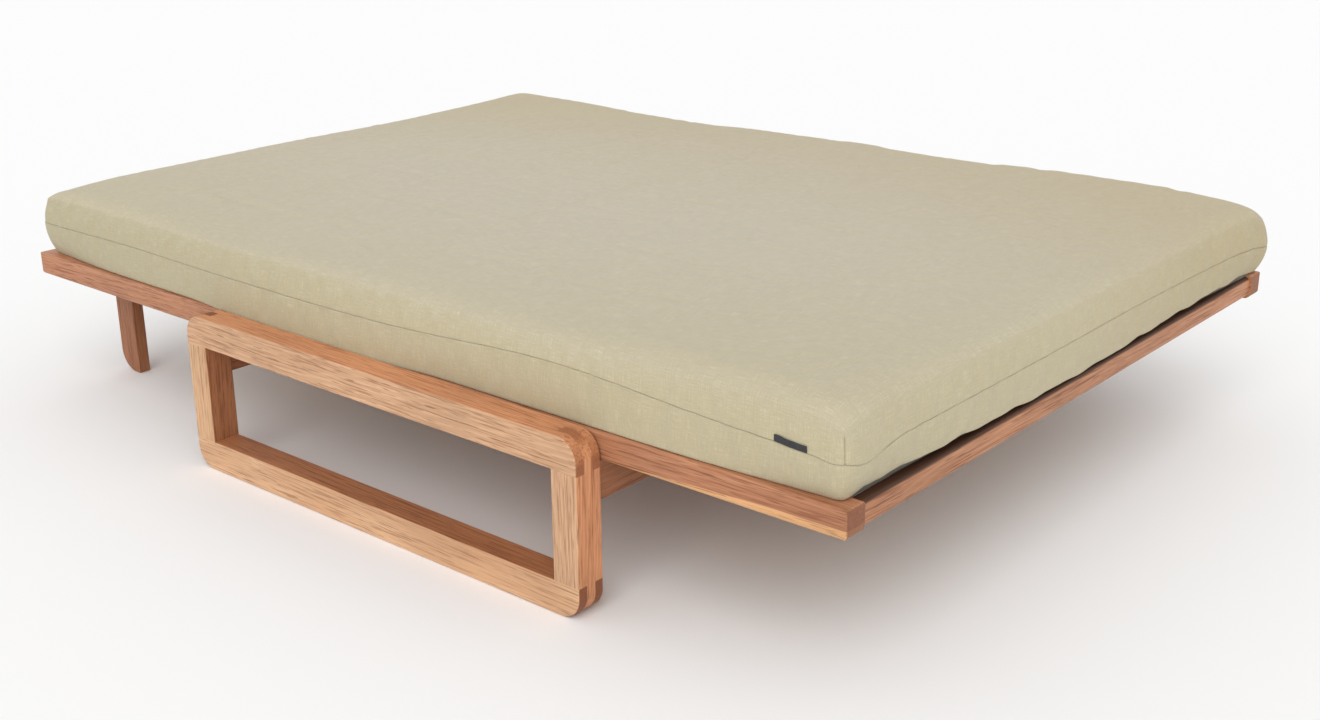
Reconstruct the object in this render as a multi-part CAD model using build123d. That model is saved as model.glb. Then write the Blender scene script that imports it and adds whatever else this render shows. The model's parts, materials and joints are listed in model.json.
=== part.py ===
"""Lengthwise futon sofa bed, laid flat as a bed: two oak loops, a slatted platform in three sections,
and one mattress.

Millimetres, +Z up. +X runs across the bed, +Y from the foot end to the back end. The origin is on the floor,
under the middle of the bed. The left side is -X. The front section slides in between the loops along +Y, the
back section tilts up on two hinges at the loops' rear corners, and the two legs under it swing up forwards.
"""

import math
import os

from build123d import *

# Platform
FRAME_WIDTH = 1400.0  # over the side rails
FRAME_LENGTH = 1970.0
FRONT_OVERHANG = 431.0  # from the foot end to the loops, which is also the front section's travel
RAIL_THICKNESS = 42.0
RAIL_HEIGHT = 46.0
RAIL_LOWER_ROUND = 9.0
RAIL_UPPER_ROUND = 5.0
RAIL_INNER_ROUND = 1.5
RAIL_TOE_ROUND = 12.0  # lower corner of a rail's free end
RAIL_END_ROUND = 4.0
FRONT_RAIL_LENGTH = 898.0

# Side loops
LOOP_LENGTH = 955.0
LOOP_HEIGHT = 293.0
LOOP_THICKNESS = 54.0
LOOP_BAR = 56.0
LOOP_POST = 52.0
LOOP_CORNER = 39.0
LOOP_ARRIS = 3.0
LOOP_PLIES = 3  # a bar's two cheeks and a post's tongue
LOOP_GAP = 3.0  # between a loop and the side rails
RAIL_DROP = 3.0  # of the side rails' top below the loops' top

# Cross rails and bearers
CROSS_RAIL_THICKNESS = 40.0
CROSS_RAIL_HEIGHT = 65.7
CROSS_RAIL_INSET = 8.0  # from the loop's end
CROSS_RAIL_ROUND = 3.0
CROSS_TENON_LENGTH = 28.0
CROSS_TENON_THICKNESS = 20.0
CROSS_TENON_SHOULDER = 10.0
SLIDE_GAP = 0.3  # under the side rails, where they lie on the cross rails
BEARER_THICKNESS = 24.0
BEARER_HEIGHT = 64.0
BEARER_SIDE_GAP = 3.0  # to the sliding side rails

# End rails: the foot rail and the head rail
END_RAIL_HEIGHT = 38.0
END_RAIL_LIFT = 4.0  # of its underside above the side rails', so that it clears the cross rail
END_RAIL_RECESS = 4.0
END_RAIL_ROUND = 9.0
RABBET_DEPTH = 20.0

# Slats and the light rails under them
SLAT_WIDTH = 95.0
SLAT_THICKNESS = 18.0
SLAT_ROUND = 2.5
SEAT_SLATS = 6
SLAT_END_GAP = 2.0
SEAT_SLAT_REAR_GAP = 2.0  # ahead of the rear cross rail
COMB_DEPTH = 1.0  # of the recesses over which the other section's slats run
COMB_SIDE = 2.0
TIE_WIDTH = 40.0
TIE_START = 835.0  # from the foot end
TIE_LIFT = 0.5  # of the light rails' underside above the side rails'
STOP_LENGTH = 20.0
STOP_WIDTH = 60.0
STOP_GAP = 0.3
TENON_LENGTH = 22.0
TENON_THICKNESS = 14.0
TENON_SHOULDER = 4.0

# Back section and its hinges
PIVOT_INSET = 28.0  # ahead of the loops' rear end
PIVOT_END_GAP = 0.4  # of a back rail's round end over the cross rail
BACK_ANGLE = 75.0
LOWER_RAIL_OFFSET = 27.0  # behind the pivot
BACK_SLAT_INSET = 2.0
PLATE_THICKNESS = 3.0
PLATE_WIDTH = 26.0
PLATE_LENGTH = 113.0
PLATE_SCREW_PITCH = 34.0
PLATE_SCREW_START = 44.0  # from the pivot to the first screw
BACK_PLATE_MARGIN = 2.2  # from the rail's top and bottom to the plate
BACK_PLATE_SCREW_REACH = 14.0  # from the pivot, above and below
STUD_RADIUS = 5.0
STUD_LENGTH = 14.0  # past the plate, into the wood
STUD_RUNNING_FIT = 0.05
STUD_WOOD_CLEARANCE = 0.6
DRUM_RADIUS = 9.0
DRUM_GAP = 0.2

# Legs
LEG_INSET = 150.0  # from the side rail's outer face to the leg's
LEG_THICKNESS = 26.0
LEG_WIDTH = 60.0
LEG_END_GAP = 10.0  # from the leg to the back end of the frame
LEG_PIVOT_DROP = 32.0  # below the side rails
LEG_FOOT_ROUND = 45.0
LEG_ARRIS = 2.5
LEG_RAIL_START = 130.0  # ahead of the back end
LEG_BLOCK_THICKNESS = 22.0
LEG_BLOCK_DROP = 84.0
LEG_BLOCK_TOE = 28.0
STOP_LUG_HEIGHT = 40.0
LEG_STOP_GAP = 0.3
BOLT_RADIUS = 4.0
BOLT_RUNNING_FIT = 0.08
BOLT_HEAD_RADIUS = 9.0
BOLT_HEAD_HEIGHT = 4.5
BOLT_SIDE_GAP = 0.3
BOLT_END = 4.0  # past the nut
NUT_WIDTH = 13.0
NUT_HEIGHT = 6.5

# Countersunk wood screws
SCREW_LENGTH = 30.0
SCREW_RADIUS = 2.0
SCREW_HEAD_RADIUS = 4.0
SCREW_HEAD_HEIGHT = 2.4
SCREW_TIP = 4.0
SCREW_FIT = 0.05
SLAT_SCREW_OFFSET = 28.0

# Mattress
MATTRESS_SIDE_INSET = 2.0  # from the side rails' outer faces
MATTRESS_END_INSET = 3.0  # from the ends of the frame
MATTRESS_SEAT_GAP = 0.3
MATTRESS_SEAM_HEIGHT = 64.0
MATTRESS_EDGE_HEIGHT = 122.0
MATTRESS_CROWN_HEIGHT = 152.0
MATTRESS_FOOT_INSET = 7.0
MATTRESS_BROW_INSET = 12.0
MATTRESS_SIDE_BOW = 3.0
MATTRESS_CORNER = 48.0
MATTRESS_BROW_ROUND = 34.0
MATTRESS_HEM_ROUND = 12.0
MATTRESS_GATHER = 269.0  # what the front part keeps of its length when the front section is in
COVER_THICKNESS = 2.0
CORE_GAP = 0.3
FOLD_SLACK = 1.0  # degrees left open between the two parts when the back is up
TAG_LENGTH = 54.0
TAG_HEIGHT = 14.0
TAG_THICKNESS = 1.2
TAG_GAP = 0.3
TAG_START = 62.0  # from the mattress's foot end

# Round ends: shares of the radius that a full half round would have
PLATE_ROUND_SHARE = 0.98
LEG_ROUND_SHARE = 0.99
BOLT_DOME_SHARE = 0.8  # of the bolt head's height

OVERRUN = 5.0  # of every cutter past the face that it opens
DOWN = (0, 0, -1)

# Places that follow from the sizes
FOOT_END = -FRAME_LENGTH / 2
BACK_END = FRAME_LENGTH / 2
RAIL_OUTER = FRAME_WIDTH / 2
RAIL_INNER = RAIL_OUTER - RAIL_THICKNESS
RAIL_TOP = LOOP_HEIGHT - RAIL_DROP
RAIL_BOTTOM = RAIL_TOP - RAIL_HEIGHT
LOOP_INNER = RAIL_OUTER + LOOP_GAP
LOOP_OUTER = LOOP_INNER + LOOP_THICKNESS
LOOP_FRONT = FOOT_END + FRONT_OVERHANG
LOOP_REAR = LOOP_FRONT + LOOP_LENGTH
LOOP_PLY = LOOP_THICKNESS / LOOP_PLIES
END_RAIL_BOTTOM = RAIL_BOTTOM + END_RAIL_LIFT
SLAT_TOP = END_RAIL_BOTTOM + END_RAIL_HEIGHT
SLAT_BOTTOM = SLAT_TOP - SLAT_THICKNESS
LIGHT_BOTTOM = RAIL_BOTTOM + TIE_LIFT
CROSS_TOP = RAIL_BOTTOM - SLIDE_GAP
CROSS_BOTTOM = CROSS_TOP - CROSS_RAIL_HEIGHT
FRONT_CROSS_FACE = LOOP_FRONT + CROSS_RAIL_INSET
REAR_CROSS_FACE = LOOP_REAR - CROSS_RAIL_INSET - CROSS_RAIL_THICKNESS
FRONT_BEARER_FACE = FRONT_CROSS_FACE + CROSS_RAIL_THICKNESS
REAR_BEARER_FACE = REAR_CROSS_FACE - BEARER_THICKNESS
PIVOT_Y = LOOP_REAR - PIVOT_INSET
PIVOT_Z = RAIL_BOTTOM + RAIL_HEIGHT / 2
LOWER_RAIL_FACE = PIVOT_Y + LOWER_RAIL_OFFSET
LEG_RAIL_FACE = BACK_END - LEG_RAIL_START
LEG_OUTER = RAIL_OUTER - LEG_INSET
LEG_INNER = LEG_OUTER - LEG_THICKNESS
LEG_REAR = BACK_END - LEG_END_GAP
LEG_FRONT = LEG_REAR - LEG_WIDTH
LEG_PIVOT_Y = LEG_REAR - LEG_WIDTH / 2
LEG_PIVOT_Z = RAIL_BOTTOM - LEG_PIVOT_DROP
SLAT_PITCH = 2 * RAIL_INNER / (2 * SEAT_SLATS - 1)
LOOP_PLATE_FACE = -LOOP_INNER  # the plate is let in flush with the wood
BACK_PLATE_FACE = -RAIL_OUTER
PLATE_REACH = PLATE_LENGTH - PLATE_WIDTH / 2
MATTRESS_WIDTH = FRAME_WIDTH - 2 * MATTRESS_SIDE_INSET
MATTRESS_LENGTH = FRAME_LENGTH - 2 * MATTRESS_END_INSET
MATTRESS_BOTTOM = RAIL_TOP + MATTRESS_SEAT_GAP


def block(xs, ys, zs):
    """Box between two values along each axis."""
    spans = [sorted(pair) for pair in (xs, ys, zs)]
    middle = [(low + high) / 2 for low, high in spans]
    return Pos(*middle) * Box(*[high - low for low, high in spans])


def corners(us, vs):
    """Four corners of a rectangle, round from its low corner."""
    return [(us[0], vs[0]), (us[1], vs[0]), (us[1], vs[1]), (us[0], vs[1])]


def outline(points, radii=0.0):
    """Face inside a closed outline, with one radius for all its corners or one for each."""
    if isinstance(radii, (int, float)):
        radii = [radii] * len(points)
    return make_face(FilletPolyline(*points, radius=radii, close=True).edges())


def along_x(face, xs):
    """Face drawn in Y and Z, drawn out between two values of X."""
    return extrude(Plane.YZ.offset(xs[0]) * face, amount=xs[1] - xs[0])


def along_y(face, ys):
    """Face drawn in X and Z, drawn out between two values of Y."""
    return extrude(Plane.XZ.offset(-ys[1]) * face, amount=ys[1] - ys[0])


def along_z(face, zs):
    """Face drawn in X and Y, drawn out between two values of Z."""
    return extrude(Plane.XY.offset(zs[0]) * face, amount=zs[1] - zs[0])


def other_side(shape):
    """The same shape on the other side of the bed."""
    return mirror(shape, about=Plane.YZ)


def both_sides(shape):
    """A shape and its mirror image, as one cutter or one group."""
    return [shape, other_side(shape)]


def save(name, shape):
    """Writes one piece, or one group of like pieces, under its own name."""
    solids = [solid for item in (shape if isinstance(shape, list) else [shape]) for solid in item.solids()]
    body = solids[0] if len(solids) == 1 else Compound(children=solids)
    export_step(body, f"parts/{name}.step")


def turned(profile, tip, direction):
    """Solid of a profile of radius and depth turned about its axis, with depth zero at tip."""
    face = make_face(Polyline(*profile, close=True).edges())
    solid = revolve(Plane.XZ * face, axis=Axis.Z)
    return Plane(origin=tip, z_dir=direction) * solid


def screw(head, direction, fit=0.0):
    """Countersunk wood screw, its head's top at head, driven along direction. fit widens it into its hole."""
    shank, rim = SCREW_RADIUS + fit, SCREW_HEAD_RADIUS + fit
    length = SCREW_LENGTH + fit
    profile = [
        (0, 0),
        (rim, 0),
        (shank, SCREW_HEAD_HEIGHT),
        (shank, length - SCREW_TIP),
        (0, length),
    ]
    return turned(profile, head, direction)


def screw_holes(places, direction):
    """Cutters for screws at several places."""
    return [screw(place, direction, SCREW_FIT) for place in places]


def slat_centre(number):
    """X of a slat's middle: even numbers are fixed in the seat, odd ones slide between them."""
    return -RAIL_INNER + SLAT_PITCH * (number + 1 / 2)


SEAT_SLAT_PLACES = [slat_centre(2 * number) for number in range(SEAT_SLATS)]
FRONT_SLAT_PLACES = [slat_centre(2 * number + 1) for number in range(SEAT_SLATS - 1)]


def slat_screw_places(centres, rows):
    """Head places of the slats' screws: two in each row across a slat."""
    return [
        (x + side * SLAT_SCREW_OFFSET, y, SLAT_TOP) for x in centres for y in rows for side in (-1, 1)
    ]


def slat(x, ys, rows):
    """One slat with its screw holes."""
    face = outline(corners((x - SLAT_WIDTH / 2, x + SLAT_WIDTH / 2), (SLAT_BOTTOM, SLAT_TOP)), SLAT_ROUND)
    return along_y(face, ys) - screw_holes(slat_screw_places([x], rows), DOWN)


def comb(centres, ys):
    """Cutters for the shallow recesses under slats that run over a bearer or a tie."""
    reach = SLAT_WIDTH / 2 + COMB_SIDE
    zs = (SLAT_BOTTOM - COMB_DEPTH, SLAT_BOTTOM + OVERRUN)
    return [block((x - reach, x + reach), (ys[0] - OVERRUN, ys[1] + OVERRUN), zs) for x in centres]


def side_rail(ys, radii):
    """Left side rail: the section of the rail and its side view with rounded ends, put together."""
    xs = (-RAIL_OUTER, -RAIL_INNER)
    zs = (RAIL_BOTTOM, RAIL_TOP)
    section_rounds = [RAIL_LOWER_ROUND, RAIL_INNER_ROUND, RAIL_INNER_ROUND, RAIL_UPPER_ROUND]
    section = along_y(outline(corners(xs, zs), section_rounds), ys)
    side_view = along_x(outline(corners(ys, zs), radii), xs)
    return section & side_view


def end_rounding(ys, foot):
    """Plan of a rail whose free end is rounded at its outer corner."""
    xs = (-RAIL_OUTER, -RAIL_INNER)
    rounds = [RAIL_END_ROUND, 0.0, 0.0, 0.0] if foot else [0.0, 0.0, 0.0, RAIL_END_ROUND]
    return along_z(outline(corners(xs, ys), rounds), (RAIL_BOTTOM, RAIL_TOP))


def tenons(ys, zs, length, root):
    """Stub tenons at both ends of a cross piece whose shoulders are at root."""
    return both_sides(block((-root, -root - length), ys, zs))


def light_rail(face_y):
    """Cross piece under the slats, with stub tenons. Gives the rail and its tenons."""
    ys = (face_y, face_y + TIE_WIDTH)
    zs = (LIGHT_BOTTOM, SLAT_BOTTOM)
    middle = face_y + TIE_WIDTH / 2
    tongue_ys = (middle - TENON_THICKNESS / 2, middle + TENON_THICKNESS / 2)
    tongue_zs = (LIGHT_BOTTOM + TENON_SHOULDER, SLAT_BOTTOM - TENON_SHOULDER)
    tongues = tenons(tongue_ys, tongue_zs, TENON_LENGTH, RAIL_INNER)
    return block((-RAIL_INNER, RAIL_INNER), ys, zs) + tongues, tongues


def end_rail():
    """Foot rail with its rabbet for the slats and its stub tenons. Gives the rail and its tenons."""
    front = FOOT_END + END_RAIL_RECESS
    rear = front + RAIL_THICKNESS
    ledge = rear - RABBET_DEPTH
    points = [
        (front, END_RAIL_BOTTOM),
        (rear, END_RAIL_BOTTOM),
        (rear, SLAT_BOTTOM),
        (ledge, SLAT_BOTTOM),
        (ledge, SLAT_TOP),
        (front, SLAT_TOP),
    ]
    face = outline(points, [END_RAIL_ROUND, 0.0, 0.0, 0.0, 0.0, END_RAIL_ROUND])
    tongue_ys = (ledge - TENON_THICKNESS, ledge)
    tongue_zs = (END_RAIL_BOTTOM + TENON_SHOULDER, SLAT_TOP - TENON_SHOULDER)
    tongues = tenons(tongue_ys, tongue_zs, TENON_LENGTH, RAIL_INNER)
    return along_x(face, (-RAIL_INNER, RAIL_INNER)) + tongues, tongues


def to_back_end(shape):
    """A shape of the foot end turned round to the back end."""
    return mirror(shape, about=Plane.XZ)


def flat_sides(shape):
    """Faces of a board that look across the bed."""
    return [face for face in shape.faces() if abs(face.normal_at().X) > math.sqrt(1 / 2)]


def loop_ring():
    """The left loop as one ring with rounded arrises, before it is parted into bars and posts."""
    xs = (-LOOP_OUTER, -LOOP_INNER)
    whole = along_x(outline(corners((LOOP_FRONT, LOOP_REAR), (0, LOOP_HEIGHT)), LOOP_CORNER), xs)
    window_ys = (LOOP_FRONT + LOOP_POST, LOOP_REAR - LOOP_POST)
    ring = whole - block(xs, window_ys, (LOOP_BAR, LOOP_HEIGHT - LOOP_BAR))
    rims = [face for face in flat_sides(ring) if face.inner_wires()]
    return fillet([edge for face in rims for edge in face.edges()], LOOP_ARRIS)


def loop_tongues(zs):
    """The posts' tongues at one bar: the middle ply over each post's width."""
    xs = (-LOOP_OUTER + LOOP_PLY, -LOOP_INNER - LOOP_PLY)
    return [block(xs, ys, zs) for ys in loop_post_spans()]


def loop_post_spans():
    """Y span of the front post and of the rear post."""
    return [(LOOP_FRONT, LOOP_FRONT + LOOP_POST), (LOOP_REAR - LOOP_POST, LOOP_REAR)]


def loop_members():
    """Bars and posts of the left loop, joined at the corners by bridle joints."""
    ring = loop_ring()
    xs = (-LOOP_OUTER, -LOOP_INNER)
    ys = (LOOP_FRONT, LOOP_REAR)
    upper, lower = (LOOP_HEIGHT - LOOP_BAR, LOOP_HEIGHT), (0, LOOP_BAR)
    members = {
        "loop_top_bar": ring & (block(xs, ys, upper) - loop_tongues(upper)),
        "loop_bottom_bar": ring & (block(xs, ys, lower) - loop_tongues(lower)),
    }
    for number, name in enumerate(("loop_front_post", "loop_rear_post")):
        shoulders = block(xs, loop_post_spans()[number], (lower[1], upper[0]))
        members[name] = ring & (shoulders + [loop_tongues(upper)[number], loop_tongues(lower)[number]])
    return members


def cross_rail(face_y):
    """Cross rail between the loops, with its tenons. Gives the rail and its tenons."""
    ys = (face_y, face_y + CROSS_RAIL_THICKNESS)
    rounds = [CROSS_RAIL_ROUND, CROSS_RAIL_ROUND, 0.0, 0.0]
    body = along_x(outline(corners(ys, (CROSS_BOTTOM, CROSS_TOP)), rounds), (-LOOP_INNER, LOOP_INNER))
    middle = face_y + CROSS_RAIL_THICKNESS / 2
    tongue_ys = (middle - CROSS_TENON_THICKNESS / 2, middle + CROSS_TENON_THICKNESS / 2)
    post_top = LOOP_HEIGHT - LOOP_BAR
    tongue_zs = (CROSS_BOTTOM + CROSS_TENON_SHOULDER, post_top - CROSS_TENON_SHOULDER)
    tongues = tenons(tongue_ys, tongue_zs, CROSS_TENON_LENGTH, LOOP_INNER)
    return body + tongues, tongues


def bearer(face_y):
    """Batten on the inner side of a cross rail: it carries the seat slats, and the sliding ones pass it."""
    reach = RAIL_INNER - BEARER_SIDE_GAP
    ys = (face_y, face_y + BEARER_THICKNESS)
    body = block((-reach, reach), ys, (SLAT_BOTTOM - BEARER_HEIGHT, SLAT_BOTTOM))
    return body - comb(FRONT_SLAT_PLACES, ys)


def loop_plate_outline():
    """Side view of a loop's hinge plate, from the pivot forward along the top bar."""
    half = PLATE_WIDTH / 2
    ys = (PIVOT_Y - PLATE_REACH, PIVOT_Y + half)
    return outline(corners(ys, (PIVOT_Z - half, PIVOT_Z + half)), half * PLATE_ROUND_SHARE)


def back_plate_outline():
    """Side view of a back rail's hinge plate, upright inside the rail's round end."""
    half, rise = PLATE_WIDTH / 2, RAIL_HEIGHT / 2 - BACK_PLATE_MARGIN
    ys, zs = (PIVOT_Y - half, PIVOT_Y + half), (PIVOT_Z - rise, PIVOT_Z + rise)
    return outline(corners(ys, zs), half * PLATE_ROUND_SHARE)


def loop_plate_screw_places():
    """Head places of a loop plate's screws."""
    ys = [PIVOT_Y - PLATE_SCREW_START - row * PLATE_SCREW_PITCH for row in (0, 1)]
    return [(LOOP_PLATE_FACE, y, PIVOT_Z) for y in ys]


def back_plate_screw_places():
    """Head places of a back plate's screws."""
    return [(BACK_PLATE_FACE, PIVOT_Y, PIVOT_Z + sign * BACK_PLATE_SCREW_REACH) for sign in (-1, 1)]


def pivot_rod(radius, xs):
    """Round bar on the left hinge's axis between two values of X."""
    return Plane(origin=(xs[0], PIVOT_Y, PIVOT_Z), z_dir=(1, 0, 0)) * Cylinder(
        radius, xs[1] - xs[0], align=(Align.CENTER, Align.CENTER, Align.MIN)
    )


def build_loops():
    """Both loops, both cross rails and what the left hinge takes out of a top bar."""
    members = loop_members()
    front_rail, front_tongues = cross_rail(FRONT_CROSS_FACE)
    rear_rail, rear_tongues = cross_rail(REAR_CROSS_FACE)
    members["loop_front_post"] -= front_tongues
    members["loop_rear_post"] -= rear_tongues
    deep = LOOP_PLATE_FACE - PLATE_THICKNESS
    members["loop_top_bar"] -= [
        along_x(loop_plate_outline(), (deep, LOOP_PLATE_FACE + OVERRUN)),
        pivot_rod(STUD_RADIUS, (deep - STUD_LENGTH, deep)),
        *screw_holes(loop_plate_screw_places(), (-1, 0, 0)),
    ]
    for name, shape in members.items():
        save(f"left_{name}", shape)
        save(f"right_{name}", other_side(shape))
    save("front_cross_rail", front_rail)
    save("rear_cross_rail", rear_rail)


def build_hinges():
    """Ratchet hinges between the loops and the back section: two plates each, and a stud with its drum."""
    loop_plate = along_x(loop_plate_outline(), (LOOP_PLATE_FACE - PLATE_THICKNESS, LOOP_PLATE_FACE))
    loop_plate -= pivot_rod(STUD_RADIUS, (LOOP_PLATE_FACE - PLATE_THICKNESS, LOOP_PLATE_FACE))
    loop_plate -= screw_holes(loop_plate_screw_places(), (-1, 0, 0))
    back_plate = along_x(back_plate_outline(), (BACK_PLATE_FACE, BACK_PLATE_FACE + PLATE_THICKNESS))
    running = STUD_RADIUS + STUD_RUNNING_FIT
    back_plate -= pivot_rod(running, (BACK_PLATE_FACE, BACK_PLATE_FACE + PLATE_THICKNESS))
    back_plate -= screw_holes(back_plate_screw_places(), (1, 0, 0))
    loop_end = LOOP_PLATE_FACE - PLATE_THICKNESS - STUD_LENGTH
    back_end = BACK_PLATE_FACE + PLATE_THICKNESS + STUD_LENGTH
    drum = pivot_rod(DRUM_RADIUS, (LOOP_PLATE_FACE, BACK_PLATE_FACE - DRUM_GAP))
    stud = pivot_rod(STUD_RADIUS, (loop_end, back_end)) + drum
    save("hinge_loop_plates", both_sides(loop_plate))
    save("hinge_back_plates", both_sides(back_plate))
    save("hinge_studs", both_sides(stud))


def build_seat():
    """Fixed middle of the platform: bearers, slats, the sliding tie's stops, and the base's screws."""
    rows = [FRONT_BEARER_FACE + BEARER_THICKNESS / 2, REAR_BEARER_FACE + BEARER_THICKNESS / 2]
    ys = (FRONT_BEARER_FACE + SLAT_END_GAP, REAR_CROSS_FACE - SEAT_SLAT_REAR_GAP)
    places = slat_screw_places(SEAT_SLAT_PLACES, rows)
    save("front_bearer", bearer(FRONT_BEARER_FACE) - screw_holes(places, DOWN))
    save("rear_bearer", bearer(REAR_BEARER_FACE) - screw_holes(places, DOWN))
    for number, x in enumerate(SEAT_SLAT_PLACES, start=1):
        save(f"seat_slat_{number}", slat(x, ys, rows))
    stop_rear = FOOT_END + TIE_START - STOP_GAP
    second_from_left = SEAT_SLAT_PLACES[1]
    xs = (second_from_left - STOP_WIDTH / 2, second_from_left + STOP_WIDTH / 2)
    stop = block(xs, (stop_rear - STOP_LENGTH, stop_rear), (LIGHT_BOTTOM, SLAT_BOTTOM))
    save("front_section_stops", both_sides(stop))
    screws = [screw(place, DOWN) for place in places]
    plate_screws = [screw(place, (-1, 0, 0)) for place in loop_plate_screw_places()]
    save("base_screws", screws + plate_screws + [other_side(item) for item in plate_screws])


def build_front_section():
    """Sliding front section: two side rails, the foot rail, the tie, its slats and their screws."""
    ys = (FOOT_END, FOOT_END + FRONT_RAIL_LENGTH)
    rail = side_rail(ys, [RAIL_TOE_ROUND, RAIL_INNER_ROUND, RAIL_INNER_ROUND, RAIL_UPPER_ROUND])
    rail = rail & end_rounding(ys, foot=True)
    foot, foot_tongues = end_rail()
    tie_face = FOOT_END + TIE_START
    tie, tie_tongues = light_rail(tie_face)
    rail -= foot_tongues + tie_tongues
    save("left_front_rail", rail)
    save("right_front_rail", other_side(rail))
    ledge_end = FOOT_END + END_RAIL_RECESS + RAIL_THICKNESS
    rows = [ledge_end - RABBET_DEPTH / 2, tie_face + TIE_WIDTH / 2]
    places = slat_screw_places(FRONT_SLAT_PLACES, rows)
    holes = screw_holes(places, DOWN)
    save("foot_rail", foot - holes)
    save("front_tie", tie - comb(SEAT_SLAT_PLACES, (tie_face, tie_face + TIE_WIDTH)) - holes)
    for number, x in enumerate(FRONT_SLAT_PLACES, start=1):
        save(f"front_slat_{number}", slat(x, (ledge_end - RABBET_DEPTH, ys[1]), rows))
    save("front_screws", [screw(place, DOWN) for place in places])


def back_side_rail():
    """Left rail of the back section, round about the pivot at its front end, with the hinge's pocket."""
    reach = RAIL_HEIGHT / 2 - PIVOT_END_GAP
    ys = (PIVOT_Y - reach, BACK_END)
    rail = side_rail(ys, [reach, RAIL_TOE_ROUND, RAIL_UPPER_ROUND, reach])
    rail = rail & end_rounding(ys, foot=False)
    deep = BACK_PLATE_FACE + PLATE_THICKNESS
    bore = STUD_RADIUS + STUD_WOOD_CLEARANCE
    return rail - [
        along_x(back_plate_outline(), (BACK_PLATE_FACE - OVERRUN, deep)),
        pivot_rod(bore, (deep, deep + STUD_LENGTH + STUD_WOOD_CLEARANCE)),
        *screw_holes(back_plate_screw_places(), (1, 0, 0)),
    ]


def build_back_section():
    """Tilting back section: side rails, head rail, lower rail, leg rail, slats and their screws."""
    foot, foot_tongues = end_rail()
    head, head_tongues = to_back_end(foot), [to_back_end(tongue) for tongue in foot_tongues]
    lower, lower_tongues = light_rail(LOWER_RAIL_FACE)
    leg_rail, leg_tongues = light_rail(LEG_RAIL_FACE)
    rail = back_side_rail() - (head_tongues + lower_tongues + leg_tongues)
    save("left_back_rail", rail)
    save("right_back_rail", other_side(rail))
    ledge_start = BACK_END - END_RAIL_RECESS - RAIL_THICKNESS
    rows = [
        LOWER_RAIL_FACE + TIE_WIDTH / 2,
        LEG_RAIL_FACE + TIE_WIDTH / 2,
        ledge_start + RABBET_DEPTH / 2,
    ]
    places = slat_screw_places(SEAT_SLAT_PLACES, rows)
    holes = screw_holes(places, DOWN)
    save("head_rail", head - holes)
    save("back_lower_rail", lower - holes)
    save("back_leg_rail", leg_rail - holes)
    ys = (LOWER_RAIL_FACE + BACK_SLAT_INSET, ledge_start + RABBET_DEPTH)
    for number, x in enumerate(SEAT_SLAT_PLACES, start=1):
        save(f"back_slat_{number}", slat(x, ys, rows))
    screws = [screw(place, DOWN) for place in places]
    plate_screws = [screw(place, (1, 0, 0)) for place in back_plate_screw_places()]
    save("back_screws", screws + plate_screws + [other_side(item) for item in plate_screws])


def leg_bore(radius, xs):
    """Round bar on the left leg's axis between two values of X."""
    return Plane(origin=(xs[0], LEG_PIVOT_Y, LEG_PIVOT_Z), z_dir=(1, 0, 0)) * Cylinder(
        radius, xs[1] - xs[0], align=(Align.CENTER, Align.CENTER, Align.MIN)
    )


def leg():
    """Left leg: round about its pivot at the top, with its rear foot corner cut to a large round."""
    top = LEG_PIVOT_Z + LEG_WIDTH / 2
    xs = (-LEG_OUTER, -LEG_INNER)
    half = LEG_WIDTH / 2 * LEG_ROUND_SHARE
    rounds = [LEG_ARRIS, LEG_FOOT_ROUND, half, half]
    body = along_x(outline(corners((LEG_FRONT, LEG_REAR), (0, top)), rounds), xs)
    body = fillet([edge for face in flat_sides(body) for edge in face.edges()], LEG_ARRIS)
    return body - leg_bore(BOLT_RADIUS + BOLT_RUNNING_FIT, (xs[0] - OVERRUN, xs[1] + OVERRUN))


def leg_block():
    """Block that carries the left leg under the leg rail and the head rail, with the leg's stop lug."""
    rear = BACK_END - END_RAIL_RECESS
    head_face = rear - RAIL_THICKNESS
    low = LIGHT_BOTTOM - LEG_BLOCK_DROP
    points = [
        (LEG_RAIL_FACE, LIGHT_BOTTOM),
        (LEG_RAIL_FACE, LIGHT_BOTTOM - LEG_BLOCK_TOE),
        (LEG_FRONT, low),
        (rear, low),
        (rear, END_RAIL_BOTTOM),
        (head_face, END_RAIL_BOTTOM),
        (head_face, LIGHT_BOTTOM),
    ]
    outer, inner = -LEG_INNER + BOLT_SIDE_GAP, -LEG_INNER + LEG_BLOCK_THICKNESS
    board = along_x(outline(points), (outer, inner))
    lug = block((-LEG_OUTER, outer), (LEG_REAR + LEG_STOP_GAP, rear), (low, low + STOP_LUG_HEIGHT))
    return board + lug - leg_bore(BOLT_RADIUS, (-LEG_OUTER, inner + OVERRUN))


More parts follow.
